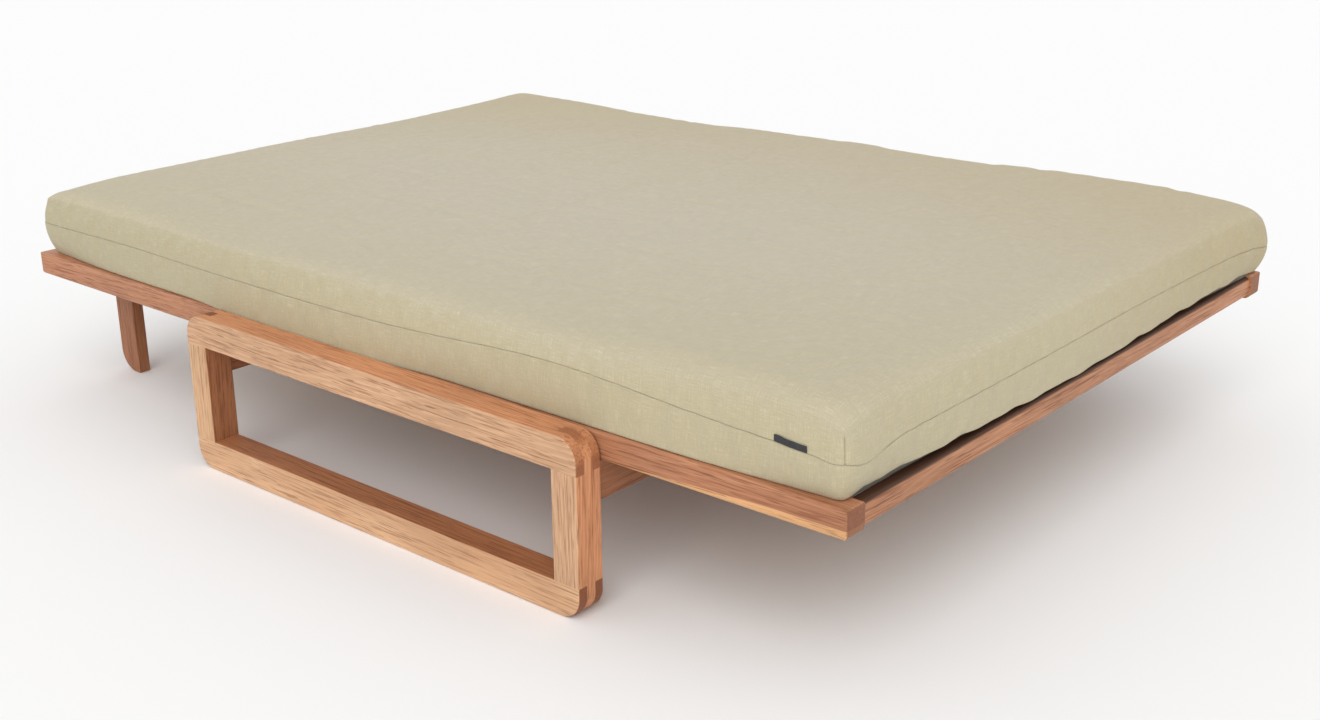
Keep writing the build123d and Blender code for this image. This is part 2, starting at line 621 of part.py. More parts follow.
def leg_bolt_and_nut():
    """Carriage bolt through the left leg and its block, and the hexagon nut behind."""
    head_x = -LEG_OUTER - BOLT_SIDE_GAP
    nut_x = -LEG_INNER + LEG_BLOCK_THICKNESS
    shank = leg_bore(BOLT_RADIUS, (head_x, nut_x + NUT_HEIGHT + BOLT_END))
    head = leg_bore(BOLT_HEAD_RADIUS, (head_x - BOLT_HEAD_HEIGHT, head_x))
    dome = head.edges().filter_by(GeomType.CIRCLE).sort_by(Axis.X)[0]
    bolt = shank + fillet(dome, BOLT_HEAD_HEIGHT * BOLT_DOME_SHARE)
    hexagon = RegularPolygon(NUT_WIDTH / 2, 6, major_radius=False)
    place = Plane(origin=(nut_x, LEG_PIVOT_Y, LEG_PIVOT_Z), x_dir=(0, 1, 0), z_dir=(1, 0, 0))
    nut = extrude(place * hexagon, amount=NUT_HEIGHT) - leg_bore(BOLT_RADIUS, (nut_x, nut_x + NUT_HEIGHT))
    return bolt, nut


def build_legs():
    """Both legs with their blocks, bolts and nuts."""
    bolt, nut = leg_bolt_and_nut()
    save("left_leg", leg())
    save("right_leg", other_side(leg()))
    save("left_leg_block", leg_block())
    save("right_leg_block", other_side(leg_block()))
    save("leg_bolts", both_sides(bolt))
    save("leg_nuts", both_sides(nut))


def cushion_view(half, inset):
    """End or side view of the mattress: flat below, drawn in to hem and brow from the seam, crowned above."""
    low = MATTRESS_BOTTOM + inset
    seam = MATTRESS_BOTTOM + MATTRESS_SEAM_HEIGHT
    brow = MATTRESS_BOTTOM + MATTRESS_EDGE_HEIGHT - inset
    crown = MATTRESS_BOTTOM + MATTRESS_CROWN_HEIGHT - inset
    seam_u = half - inset
    hem_u, brow_u = seam_u - MATTRESS_FOOT_INSET, seam_u - MATTRESS_BROW_INSET
    edges = [
        Line((-hem_u, low), (hem_u, low)),
        ThreePointArc((hem_u, low), (seam_u, seam), (brow_u, brow)),
        ThreePointArc((brow_u, brow), (0, crown), (-brow_u, brow)),
        ThreePointArc((-brow_u, brow), (-seam_u, seam), (-hem_u, low)),
    ]
    face = make_face(edges)
    face = fillet(face.vertices().group_by(Axis.Y)[-1], MATTRESS_BROW_ROUND - inset)
    hems = face.vertices().group_by(Axis.Y)[0]
    return fillet(hems, MATTRESS_HEM_ROUND - inset)


def cushion_plan(inset):
    """Plan of the mattress, with its sides a little bowed and its corners round."""
    x, y = MATTRESS_WIDTH / 2 - inset, MATTRESS_LENGTH / 2 - inset
    cx, cy = x - MATTRESS_SIDE_BOW, y - MATTRESS_SIDE_BOW
    edges = [
        ThreePointArc((-cx, -cy), (0, -y), (cx, -cy)),
        ThreePointArc((cx, -cy), (x, 0), (cx, cy)),
        ThreePointArc((cx, cy), (0, y), (-cx, cy)),
        ThreePointArc((-cx, cy), (-x, 0), (-cx, -cy)),
    ]
    face = make_face(edges)
    return fillet(face.vertices(), MATTRESS_CORNER - inset)


def cushion(inset):
    """The whole mattress, its surface moved in by inset."""
    x, y = MATTRESS_WIDTH / 2, MATTRESS_LENGTH / 2
    ends = along_y(cushion_view(x, inset), (-y - OVERRUN, y + OVERRUN))
    sides = along_x(cushion_view(y, inset), (-x - OVERRUN, x + OVERRUN))
    zs = (MATTRESS_BOTTOM - OVERRUN, MATTRESS_BOTTOM + MATTRESS_CROWN_HEIGHT + OVERRUN)
    plan = along_z(cushion_plan(inset), zs)
    return (ends & plan) & sides


def fold_edge(sign, z):
    """Y of the mattress's cut beside the fold, on a plane through the hinge axis."""
    lean = math.radians((BACK_ANGLE + FOLD_SLACK) / 2)
    return PIVOT_Y + sign * (z - PIVOT_Z) * math.tan(lean)


def mattress_zones():
    """The spaces of the mattress's parts: front, seat, fold and back."""
    low, high = MATTRESS_BOTTOM - OVERRUN, MATTRESS_BOTTOM + MATTRESS_CROWN_HEIGHT + OVERRUN
    reach = MATTRESS_LENGTH / 2 + OVERRUN
    xs = (-MATTRESS_WIDTH / 2 - OVERRUN, MATTRESS_WIDTH / 2 + OVERRUN)
    parting = LOOP_FRONT + MATTRESS_GATHER
    ahead = [(fold_edge(-1, high), high), (fold_edge(-1, low), low)]
    behind = [(fold_edge(1, low), low), (fold_edge(1, high), high)]
    return {
        "front": along_x(outline(corners((-reach, parting), (low, high))), xs),
        "seat": along_x(outline([(parting, high), (parting, low), ahead[1], ahead[0]]), xs),
        "fold": along_x(outline(ahead + behind), xs),
        "back": along_x(outline(behind + [(reach, high), (reach, low)]), xs),
    }


def mattress_tag():
    """Bare tag that stands up from the left side seam near the foot end, clear of the side's bow."""
    start = -MATTRESS_LENGTH / 2 + TAG_START
    ys = (start, start + TAG_LENGTH)
    bow = MATTRESS_SIDE_BOW * (ys[1] / (MATTRESS_LENGTH / 2 - MATTRESS_SIDE_BOW)) ** 2
    face_x = -MATTRESS_WIDTH / 2 + bow - TAG_GAP
    seam = MATTRESS_BOTTOM + MATTRESS_SEAM_HEIGHT
    return block((face_x - TAG_THICKNESS, face_x), ys, (seam, seam + TAG_HEIGHT))


def build_mattress():
    """Mattress: cover and filling of each part, the fold between seat and back, and the tag."""
    whole = cushion(0.0)
    cover = whole - cushion(COVER_THICKNESS)
    core = cushion(COVER_THICKNESS + CORE_GAP)
    zones = mattress_zones()
    for part in ("front", "seat", "back"):
        save(f"mattress_cover_{part}", cover & zones[part])
        save(f"mattress_core_{part}", core & zones[part])
    save("mattress_fold", whole & zones["fold"])
    save("mattress_tag", mattress_tag())


def main():
    os.makedirs("parts", exist_ok=True)
    build_loops()
    build_hinges()
    build_seat()
    build_front_section()
    build_back_section()
    build_legs()
    build_mattress()


if __name__ == "__main__":
    main()
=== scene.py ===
"""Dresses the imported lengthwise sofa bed, laid flat: oak frame, canvas mattress, tag and fixings.

Everything is in metres in the row frame: +X across the bed, +Y from the foot end to the back end, +Z up.
"""

import json
import logging
import math
import random
from dataclasses import dataclass, field
from enum import Enum
from typing import NamedTuple, Optional, Sequence, Union

import bmesh
import bpy
import numpy as np
from mathutils import Euler, Matrix, Vector, noise


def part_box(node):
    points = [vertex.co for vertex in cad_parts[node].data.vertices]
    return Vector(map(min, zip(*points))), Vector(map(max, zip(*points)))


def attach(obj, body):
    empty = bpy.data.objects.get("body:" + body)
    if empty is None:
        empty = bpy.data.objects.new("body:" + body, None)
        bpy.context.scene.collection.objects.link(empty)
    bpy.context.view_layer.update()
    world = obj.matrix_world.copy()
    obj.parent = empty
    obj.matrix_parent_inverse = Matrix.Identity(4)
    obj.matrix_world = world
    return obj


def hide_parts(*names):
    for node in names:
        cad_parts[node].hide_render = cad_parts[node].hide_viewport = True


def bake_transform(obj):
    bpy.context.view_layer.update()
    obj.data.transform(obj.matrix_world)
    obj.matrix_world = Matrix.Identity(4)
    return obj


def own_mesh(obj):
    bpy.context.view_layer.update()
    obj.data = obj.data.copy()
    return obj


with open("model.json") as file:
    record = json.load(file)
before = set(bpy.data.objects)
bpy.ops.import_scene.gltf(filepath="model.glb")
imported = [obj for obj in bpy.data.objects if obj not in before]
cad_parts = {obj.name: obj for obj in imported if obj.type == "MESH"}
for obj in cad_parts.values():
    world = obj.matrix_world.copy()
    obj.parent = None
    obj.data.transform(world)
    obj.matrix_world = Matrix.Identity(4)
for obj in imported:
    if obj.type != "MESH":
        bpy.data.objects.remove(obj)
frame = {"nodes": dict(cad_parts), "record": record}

logging.basicConfig(level=logging.INFO, format="%(message)s")
log = logging.getLogger("sofa_bed")

TINY = 1e-9

# Kinds of value in the hints: a Spot is a place on a plane, a Value is what a node's input takes
Colour = tuple[float, float, float, float]
Point = tuple[float, float, float]
Spot = tuple[float, float]
Socket = bpy.types.NodeSocket
Value = Union[Socket, float, Point, Colour]


class Grain(Enum):
    """Way in which a board's grain runs: its axis, and the turn that brings it onto a pattern's Z axis."""

    ACROSS = ((1.0, 0.0, 0.0), (0.0, -math.pi / 2, 0.0))
    LENGTHWISE = ((0.0, 1.0, 0.0), (math.pi / 2, 0.0, 0.0))
    UPRIGHT = ((0.0, 0.0, 1.0), (0.0, 0.0, 0.0))

    def __init__(self, axis: Point, turn: Point) -> None:
        """Keeps the axis and the turn.

        Args:
            axis: Unit vector along the grain, in the row frame.
            turn: Turn about X, Y and Z, in radians.
        """
        self.axis = axis
        self.turn = turn


@dataclass
class Graph:
    """Short way to add nodes to a tree and to join them."""

    tree: bpy.types.NodeTree

    def node(self, kind: str, **settings: object) -> bpy.types.Node:
        """Adds one node.

        Args:
            kind: The node's bl_idname.
            **settings: Attributes to set on it.

        Returns:
            The new node.
        """
        made = self.tree.nodes.new(kind)
        for name, value in settings.items():
            setattr(made, name, value)
        return made

    def feed(self, socket: Socket, value: Value) -> None:
        """Joins an output to an input, or sets the input to a plain value.

        Args:
            socket: Input to feed.
            value: Output socket, number, vector or colour.
        """
        if isinstance(value, Socket):
            self.tree.links.new(value, socket)
        else:
            socket.default_value = value

    def math(self, operation: str, a: Value, b: Value = 0.0, c: Value = 0.0) -> Socket:
        """Adds a Math node and returns its output.

        Args:
            operation: Name of the operation.
            a: First value.
            b: Second value.
            c: Third value, for operations that take one.

        Returns:
            The result's socket.
        """
        made = self.node("ShaderNodeMath", operation=operation)
        for socket, value in zip(made.inputs, (a, b, c)):
            self.feed(socket, value)
        return made.outputs[0]

    def vector(self, operation: str, a: Value, b: Value = (0.0, 0.0, 0.0), result: str = "Vector") -> Socket:
        """Adds a Vector Math node and returns its output.

        Args:
            operation: Name of the operation.
            a: First vector.
            b: Second vector.
            result: "Vector", or "Value" for an operation that gives a number.

        Returns:
            The result's socket.
        """
        made = self.node("ShaderNodeVectorMath", operation=operation)
        self.feed(made.inputs[0], a)
        self.feed(made.inputs[1], b)
        return made.outputs[result]

    def measure(self, operation: str, a: Value, b: Value = (0.0, 0.0, 0.0)) -> Socket:
        """Returns the number that a Vector Math node gives, such as a length."""
        return self.vector(operation, a, b, "Value")

    def scaled(self, vector: Value, scale: Point) -> Socket:
        """Returns a vector multiplied part by part."""
        return self.vector("MULTIPLY", vector, scale)

    def attribute(self, name: str) -> Socket:
        """Returns the number that a mesh holds under a name."""
        return self.node("ShaderNodeAttribute", attribute_name=name).outputs["Fac"]

    def parts(self, vector: Value) -> bpy.types.Node:
        """Splits a vector.

        Args:
            vector: Vector socket.

        Returns:
            Node with the outputs X, Y and Z.
        """
        made = self.node("ShaderNodeSeparateXYZ")
        self.feed(made.inputs[0], vector)
        return made

    def noise(self, vector: Value, scale: Value, detail: float = 2.0, rough: float = 0.5) -> Socket:
        """Adds a Noise Texture and returns its factor.

        Args:
            vector: Where the texture is read.
            scale: Texture's scale.
            detail: Number of octaves.
            rough: Share that each octave keeps of the one before.

        Returns:
            The factor's socket.
        """
        made = self.node("ShaderNodeTexNoise")
        self.feed(made.inputs["Vector"], vector)
        self.feed(made.inputs["Scale"], scale)
        self.feed(made.inputs["Detail"], detail)
        self.feed(made.inputs["Roughness"], rough)
        return made.outputs[0]

    def streaks(
        self, place: Value, stretch: float, scale: float, detail: float = 2.0, rough: float = 0.5
    ) -> Socket:
        """Adds a noise that is drawn out along Z and returns its factor.

        Args:
            place: Where the texture is read.
            stretch: Share of the scale that is left along Z.
            scale: Texture's scale across Z.
            detail: Number of octaves.
            rough: Share that each octave keeps of the one before.

        Returns:
            The factor's socket.
        """
        return self.noise(self.scaled(place, (1.0, 1.0, stretch)), scale, detail, rough)

    def span(self, value: Value, low: float, high: float, to_low: float, to_high: float) -> Socket:
        """Maps one range of values smoothly to another, held at both ends.

        Args:
            value: Value socket.
            low: Start of the range that is read.
            high: End of the range that is read.
            to_low: Result at low.
            to_high: Result at high.

        Returns:
            The result's socket.
        """
        made = self.node("ShaderNodeMapRange", interpolation_type="SMOOTHSTEP", clamp=True)
        for socket, number in zip(made.inputs, (value, low, high, to_low, to_high)):
            self.feed(socket, number)
        return made.outputs[0]

    def blend(self, factor: Value, a: Value, b: Value, kind: str = "MIX") -> Socket:
        """Mixes two colours.

        Args:
            factor: Share of b.
            a: First colour.
            b: Second colour.
            kind: Blend type.

        Returns:
            The mixed colour's socket.
        """
        made = self.node("ShaderNodeMix", data_type="RGBA", blend_type=kind, clamp_factor=True)
        self.feed(made.inputs[0], factor)
        self.feed(made.inputs[6], a)
        self.feed(made.inputs[7], b)
        return made.outputs[2]

    def bump(self, height: Value, distance: float, strength: float, under: Optional[Socket] = None) -> Socket:
        """Adds a Bump node and returns its normal.

        Args:
            height: Height socket, from 0 to 1.
            distance: Height of 1, in metres.
            strength: Share of the bump that shows.
            under: Normal of a coarser bump that this one lies on.

        Returns:
            The normal's socket.
        """
        made = self.node("ShaderNodeBump")
        self.feed(made.inputs["Height"], height)
        self.feed(made.inputs["Distance"], distance)
        self.feed(made.inputs["Strength"], strength)
        if under is not None:
            self.feed(made.inputs["Normal"], under)
        return made.outputs["Normal"]


def new_group(
    name: str, inputs: Sequence[tuple[str, str, Optional[float]]], outputs: Sequence[tuple[str, str]]
) -> tuple[bpy.types.NodeTree, Graph, bpy.types.Node, bpy.types.Node]:
    """Starts a shader node group with named sockets.

    Args:
        name: The group's name.
        inputs: Name, kind ("Float", "Vector" or "Color") and default of each input.
        outputs: Name and kind of each output.

    Returns:
        The group, its Graph, its input node and its output node.
    """
    group = bpy.data.node_groups.new(name, "ShaderNodeTree")
    for label, kind, default in inputs:
        socket = group.interface.new_socket(label, in_out="INPUT", socket_type=f"NodeSocket{kind}")
        if default is not None:
            socket.default_value = default
    for label, kind in outputs:
        group.interface.new_socket(label, in_out="OUTPUT", socket_type=f"NodeSocket{kind}")
    graph = Graph(group)
    return group, graph, graph.node("NodeGroupInput"), graph.node("NodeGroupOutput")


@dataclass
class Effects:
    """Shader node groups that several finishes share, each built once."""

    # Oak: how its rings wander and are shaded, and the scales of its pores, fibre and figure
    wander_scale: float = 7.0
    wander_reach: float = 7.0
    ring_rise: float = 0.62
    ring_fall: float = 0.86
    pore_scale: float = 620.0
    fibre_scale: float = 290.0
    figure_scale: float = 16.0

    # Weave: how its threads wobble, and how long, fine and strong its slubs are
    wobble: float = 0.0012
    wobble_scale: float = 60.0
    slub_scales: Spot = (40.0, 900.0)
    slub_share: float = 0.4

    def __post_init__(self) -> None:
        """Builds every group."""
        self.grain = self._grain()
        self.drift = self._drift()
        self.weave = self._weave()

    def _grain(self) -> bpy.types.NodeTree:
        """Builds the grain of sawn oak, round the pattern's own Z axis.

        Returns:
            Group with rings, pores, fibre and figure, each from 0 to 1.
        """
        group, g, start, end = new_group(
            "oak_grain",
            [("Vector", "Vector", None), ("Ring Pitch", "Float", 0.004), ("Waviness", "Float", 0.006)],
            [("Rings", "Float"), ("Pores", "Float"), ("Fibre", "Float"), ("Figure", "Float")],
        )
        place = start.outputs["Vector"]
        drift = g.math("SUBTRACT", g.streaks(place, 0.16, self.wander_scale), 0.5)
        wander = g.math("MULTIPLY", drift, g.math("MULTIPLY", start.outputs["Waviness"], self.wander_reach))
        radius = g.math("ADD", g.measure("LENGTH", g.scaled(place, (1.0, 1.0, 0.0))), wander)
        turn = g.math("FRACT", g.math("DIVIDE", radius, start.outputs["Ring Pitch"]))
        rise = g.span(turn, 0.0, self.ring_rise, 0.0, 1.0)
        fall = g.span(turn, self.ring_fall, 1.0, 1.0, 0.0)
        rings = g.math("MULTIPLY", rise, fall)
        pores = g.span(g.streaks(place, 0.03, self.pore_scale), 0.55, 0.66, 0.0, 1.0)
        early = g.span(rings, 0.15, 0.75, 1.0, 0.25)
        g.feed(end.inputs["Rings"], rings)
        g.feed(end.inputs["Pores"], g.math("MULTIPLY", pores, early))
        g.feed(end.inputs["Fibre"], g.streaks(place, 0.026, self.fibre_scale, 3.0, 0.7))
        g.feed(end.inputs["Figure"], g.streaks(place, 0.12, self.figure_scale, 3.0, 0.55))
        return group

    @staticmethod
    def _drift() -> bpy.types.NodeTree:
        """Builds the slow change of tone that handling and light leave on any surface.

        Returns:
            Group that shifts a colour and gives the mask it used.
        """
        group, g, start, end = new_group(
            "tone_drift",
            [
                ("Vector", "Vector", None), ("Color", "Color", None),
                ("Scale", "Float", 4.0), ("Amount", "Float", 0.1),
            ],
            [("Color", "Color"), ("Mask", "Float")],
        )
        mask = g.noise(start.outputs["Vector"], start.outputs["Scale"], 3.0)
        swing = g.math("MULTIPLY", g.math("SUBTRACT", mask, 0.5), start.outputs["Amount"])
        level = g.math("ADD", g.math("MULTIPLY", swing, 2.0), 1.0)
        g.feed(end.inputs["Color"], g.blend(1.0, start.outputs["Color"], level, "MULTIPLY"))
        g.feed(end.inputs["Mask"], mask)
        return group

    def _weave(self) -> bpy.types.NodeTree:
        """Builds a plain weave whose threads follow the two axes of a flat pattern in metres.

        Returns:
            Group with the cloth's height and its slubs, each from 0 to 1.
        """
        group, g, start, end = new_group(
            "plain_weave",
            [("Vector", "Vector", None), ("Pitch", "Float", 0.001)],
            [("Height", "Float"), ("Slub", "Float")],
        )
        flat = start.outputs["Vector"]
        wobble = g.vector("SUBTRACT", g.noise(flat, self.wobble_scale).node.outputs["Color"], (0.5, 0.5, 0.5))
        bent = g.parts(g.vector("ADD", flat, g.scaled(wobble, (self.wobble,) * 3)))
        turns = [g.math("DIVIDE", bent.outputs[axis], start.outputs["Pitch"]) for axis in ("X", "Y")]
        waves = [g.math("SINE", g.math("MULTIPLY", turn, math.pi)) for turn in turns]
        warp, weft = [g.math("ABSOLUTE", wave) for wave in waves]
        over = g.span(g.math("MULTIPLY", *waves), -0.6, 0.6, 0.0, 1.0)
        under = g.math("SUBTRACT", 1.0, over)
        both = g.math("ADD", g.math("MULTIPLY", warp, over), g.math("MULTIPLY", weft, under))
        along, across = self.slub_scales
        slubs = [g.noise(g.scaled(flat, (u, v, 1.0)), 1.0) for u, v in ((along, across), (across, along))]
        slub = g.math("MULTIPLY", g.math("ADD", *slubs), 0.5)
        threads = g.math("MULTIPLY", both, 1.0 - self.slub_share)
        g.feed(end.inputs["Height"], g.math("ADD", threads, g.math("MULTIPLY", slub, self.slub_share)))
        g.feed(end.inputs["Slub"], slub)
        return group


def new_material(name: str) -> tuple[bpy.types.Material, Graph, bpy.types.Node]:
    """Starts a material with one Principled BSDF.

    Args:
        name: The material's name.

    Returns:
        The material, its Graph and its shader.
    """
    material = bpy.data.materials.new(name)
    material.use_nodes = True
    graph = Graph(material.node_tree)
    material.node_tree.nodes.clear()
    shader = graph.node("ShaderNodeBsdfPrincipled")
    output = graph.node("ShaderNodeOutputMaterial")
    graph.feed(output.inputs["Surface"], shader.outputs["BSDF"])
    return material, graph, shader


def use_group(graph: Graph, group: bpy.types.NodeTree, **inputs: Value) -> bpy.types.Node:
    """Places an effect in a material.

    Args:
        graph: The material's Graph.
        group: Effect to place.
        **inputs: Values or sockets by input name, with _ for a space.

    Returns:
        The group's node.
    """
    made = graph.node("ShaderNodeGroup", node_tree=group)
    for name, value in inputs.items():
        graph.feed(made.inputs[name.replace("_", " ")], value)
    return made


class Tone(Enum):
    """Tint of a board: the pale loops, the redder rails, and the legs and cross rails in the bed's shade."""

    LOOP = (1.0, 1.0, 1.0, 1.0)
    RAIL = (0.735, 0.555, 0.505, 1.0)
    SHADED = (0.55, 0.365, 0.30, 1.0)


@dataclass(frozen=True)
class Board:
    """One board's grain, tone and place in the log."""

    name: str
    grain: Grain
    tone: Tone
    seed: int
    sapwood: bool


@dataclass(frozen=True)
class Oak:
    """Clear-oiled oak."""

    pale: Colour = (0.685, 0.428, 0.245, 1.0)
    middle: Colour = (0.500, 0.268, 0.140, 1.0)
    deep: Colour = (0.270, 0.115, 0.053, 1.0)
    pore: Colour = (0.165, 0.066, 0.031, 1.0)
    end_grain: Colour = (0.300, 0.135, 0.062, 1.0)
    # Painted shade: a loop's narrow faces and its inner faces, which face away from the light, are darkened
    narrow_face_painted_shade: Colour = (1.02, 0.76, 0.62, 1.0)
    inner_face_painted_shade: Colour = (0.65, 0.45, 0.36, 1.0)
    # Painted shadow of the mattress on the end rails' tops
    shaded: Colour = (0.050, 0.022, 0.011, 1.0)
    sapwood: Colour = (1.000, 0.740, 0.370, 1.0)

    # Grain: its size, and the strength of each part
    ring_pitch: float = 0.0046
    waviness: float = 0.007
    ring_share: float = 0.42
    figure_share: float = 0.50
    fibre_share: float = 0.66
    pore_share: float = 0.64
    drift: float = 0.26
    relief: float = 0.00025
    roughness: float = 0.48
    gloss: float = 0.34

    # Place in the log, where each board is cut
    lean: float = 0.03
    from_heart: Spot = (0.08, 0.18)
    log_reach: float = 3.0

    # Sapwood: its width at both ends of the band, the band's length, and its uneven edge
    sapwood_width: Spot = (0.0130, -0.004)
    sapwood_reach: float = 0.60
    sapwood_wave: float = 0.005

    def material(self, board: Board, effects: Effects) -> bpy.types.Material:
        """Makes one board's own material, cut from its own place in the log.

        Args:
            board: The board.
            effects: Shared node groups.

        Returns:
            The material.
        """
        draw = random.Random(board.seed)
        material, g, shader = new_material(f"oak_{board.name}")
        coordinates = g.node("ShaderNodeTexCoord").outputs
        place = self.place_in_log(g, coordinates["Object"], board, draw)
        pitch = self.ring_pitch * draw.uniform(0.8, 1.3)
        wood = use_group(g, effects.grain, Vector=place, Ring_Pitch=pitch, Waviness=self.waviness).outputs
        colour = g.blend(g.span(wood["Rings"], 0.0, 1.0, 0.0, self.ring_share), self.pale, self.middle)
        colour = g.blend(g.span(wood["Figure"], 0.48, 0.74, 0.0, self.figure_share), colour, self.middle)
        colour = g.blend(g.span(wood["Fibre"], 0.49, 0.66, 0.0, self.fibre_share), colour, self.deep)
        if board.sapwood:
            colour = self.with_sapwood(g, coordinates["Object"], colour)
        colour = g.blend(g.math("MULTIPLY", wood["Pores"], self.pore_share), colour, self.pore)
        colour = self.by_face(g, coordinates["Object"], coordinates["Normal"], colour, board)
        tone = use_group(g, effects.drift, Vector=place, Color=colour, Scale=3.5, Amount=self.drift)
        # The tint carries the board's Tone, which for the legs and cross rails is painted shade
        own = draw.uniform(0.93, 1.06)
        tint = tuple(own * draw.uniform(0.98, 1.02) * part for part in board.tone.value[:3]) + (1.0,)
        g.feed(shader.inputs["Base Color"], g.blend(1.0, tone.outputs["Color"], tint, "MULTIPLY"))
        rough = g.span(wood["Fibre"], 0.3, 0.7, self.roughness - 0.05, self.roughness + 0.12)
        g.feed(shader.inputs["Roughness"], rough)
        relief = g.math("SUBTRACT", g.math("MULTIPLY", wood["Fibre"], 0.4), wood["Pores"])
        g.feed(shader.inputs["Normal"], g.bump(relief, self.relief, 0.8))
        shader.inputs["Specular IOR Level"].default_value = self.gloss
        return material

    def place_in_log(self, g: Graph, place: Socket, board: Board, draw: random.Random) -> Socket:
        """Turns and moves the board's own coordinates so that its grain runs along Z, off the log's heart.

        Args:
            g: The material's Graph.
            place: Object coordinates.
            board: The board.
            draw: The board's own random numbers.

        Returns:
            Socket of the place in the log.
        """
        turn = g.node("ShaderNodeMapping", vector_type="POINT")
        g.feed(turn.inputs["Vector"], place)
        turn.inputs["Rotation"].default_value = board.grain.turn
        lean = g.node("ShaderNodeMapping", vector_type="POINT")
        g.feed(lean.inputs["Vector"], turn.outputs["Vector"])
        tilts = [draw.uniform(-self.lean, self.lean) for _ in range(2)]
        lean.inputs["Rotation"].default_value = (*tilts, 0.0)
        side, reach = draw.uniform(0.0, math.tau), draw.uniform(*self.from_heart)
        rise = draw.uniform(-self.log_reach, self.log_reach)
        lean.inputs["Location"].default_value = (reach * math.cos(side), reach * math.sin(side), rise)
        return lean.outputs["Vector"]

    def with_sapwood(self, g: Graph, place: Socket, colour: Value) -> Socket:
        """Lays a pale band of sapwood along a front rail's lower edge, thinning towards the loops.

        Args:
            g: The material's Graph.
            place: Object coordinates.
            colour: Colour of the heartwood.

        Returns:
            Colour socket.
        """
        parts = g.parts(place)
        low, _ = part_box("left_front_rail")
        wave = g.math("MULTIPLY", g.noise(g.scaled(place, (1.0, 0.25, 1.0)), 22.0), self.sapwood_wave)
        width = g.span(parts.outputs["Y"], low.y, low.y + self.sapwood_reach, *self.sapwood_width)
        height = g.math("SUBTRACT", g.math("SUBTRACT", parts.outputs["Z"], low.z), g.math("ADD", width, wave))
        return g.blend(g.span(height, 0.0, 0.002, 0.9, 0.0), colour, self.sapwood)

    def by_face(self, g: Graph, place: Socket, normal: Socket, colour: Value, board: Board) -> Socket:
        """Darkens end grain, and paints shade onto the end rails' tops under the mattress and onto all but a
        loop's broad faces.

        Args:
            g: The material's Graph.
            place: Object coordinates.
            normal: Normal in object space.
            colour: Colour of the board.
            board: The board.

        Returns:
            Colour socket.
        """
        up = g.measure("DOT_PRODUCT", normal, (0.0, 0.0, 1.0))
        # Painted shadow: the end rails' tops under the mattress's hem are darkened
        if board.name in ("foot_rail", "head_rail"):
            return g.blend(g.span(up, 0.40, 0.75, 0.0, 0.92), colour, self.shaded)
        along = g.math("ABSOLUTE", g.measure("DOT_PRODUCT", normal, board.grain.axis))
        cut = g.span(along, 0.50, 0.92, 0.0, 0.80)
        if board.name.endswith("top_bar"):
            low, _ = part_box(board.name)
            high_up = g.span(g.parts(place).outputs["Z"], low.z + 0.012, low.z + 0.030, 1.0, 0.35)
            cut = g.math("MULTIPLY", cut, high_up)
        colour = g.blend(cut, colour, self.end_grain)
        if board.tone is not Tone.LOOP:
            return colour
        # Painted shade: a loop's faces that do not face across the bed are darkened, the inner ones most
        across = g.math("ABSOLUTE", g.measure("DOT_PRODUCT", normal, (1.0, 0.0, 0.0)))
        edge = self.inner_face_painted_shade if board.name.endswith(("bottom_bar", "rear_post")) else self.narrow_face_painted_shade
        return g.blend(g.span(across, 0.35, 0.80, 1.0, 0.0), colour, edge, "MULTIPLY")


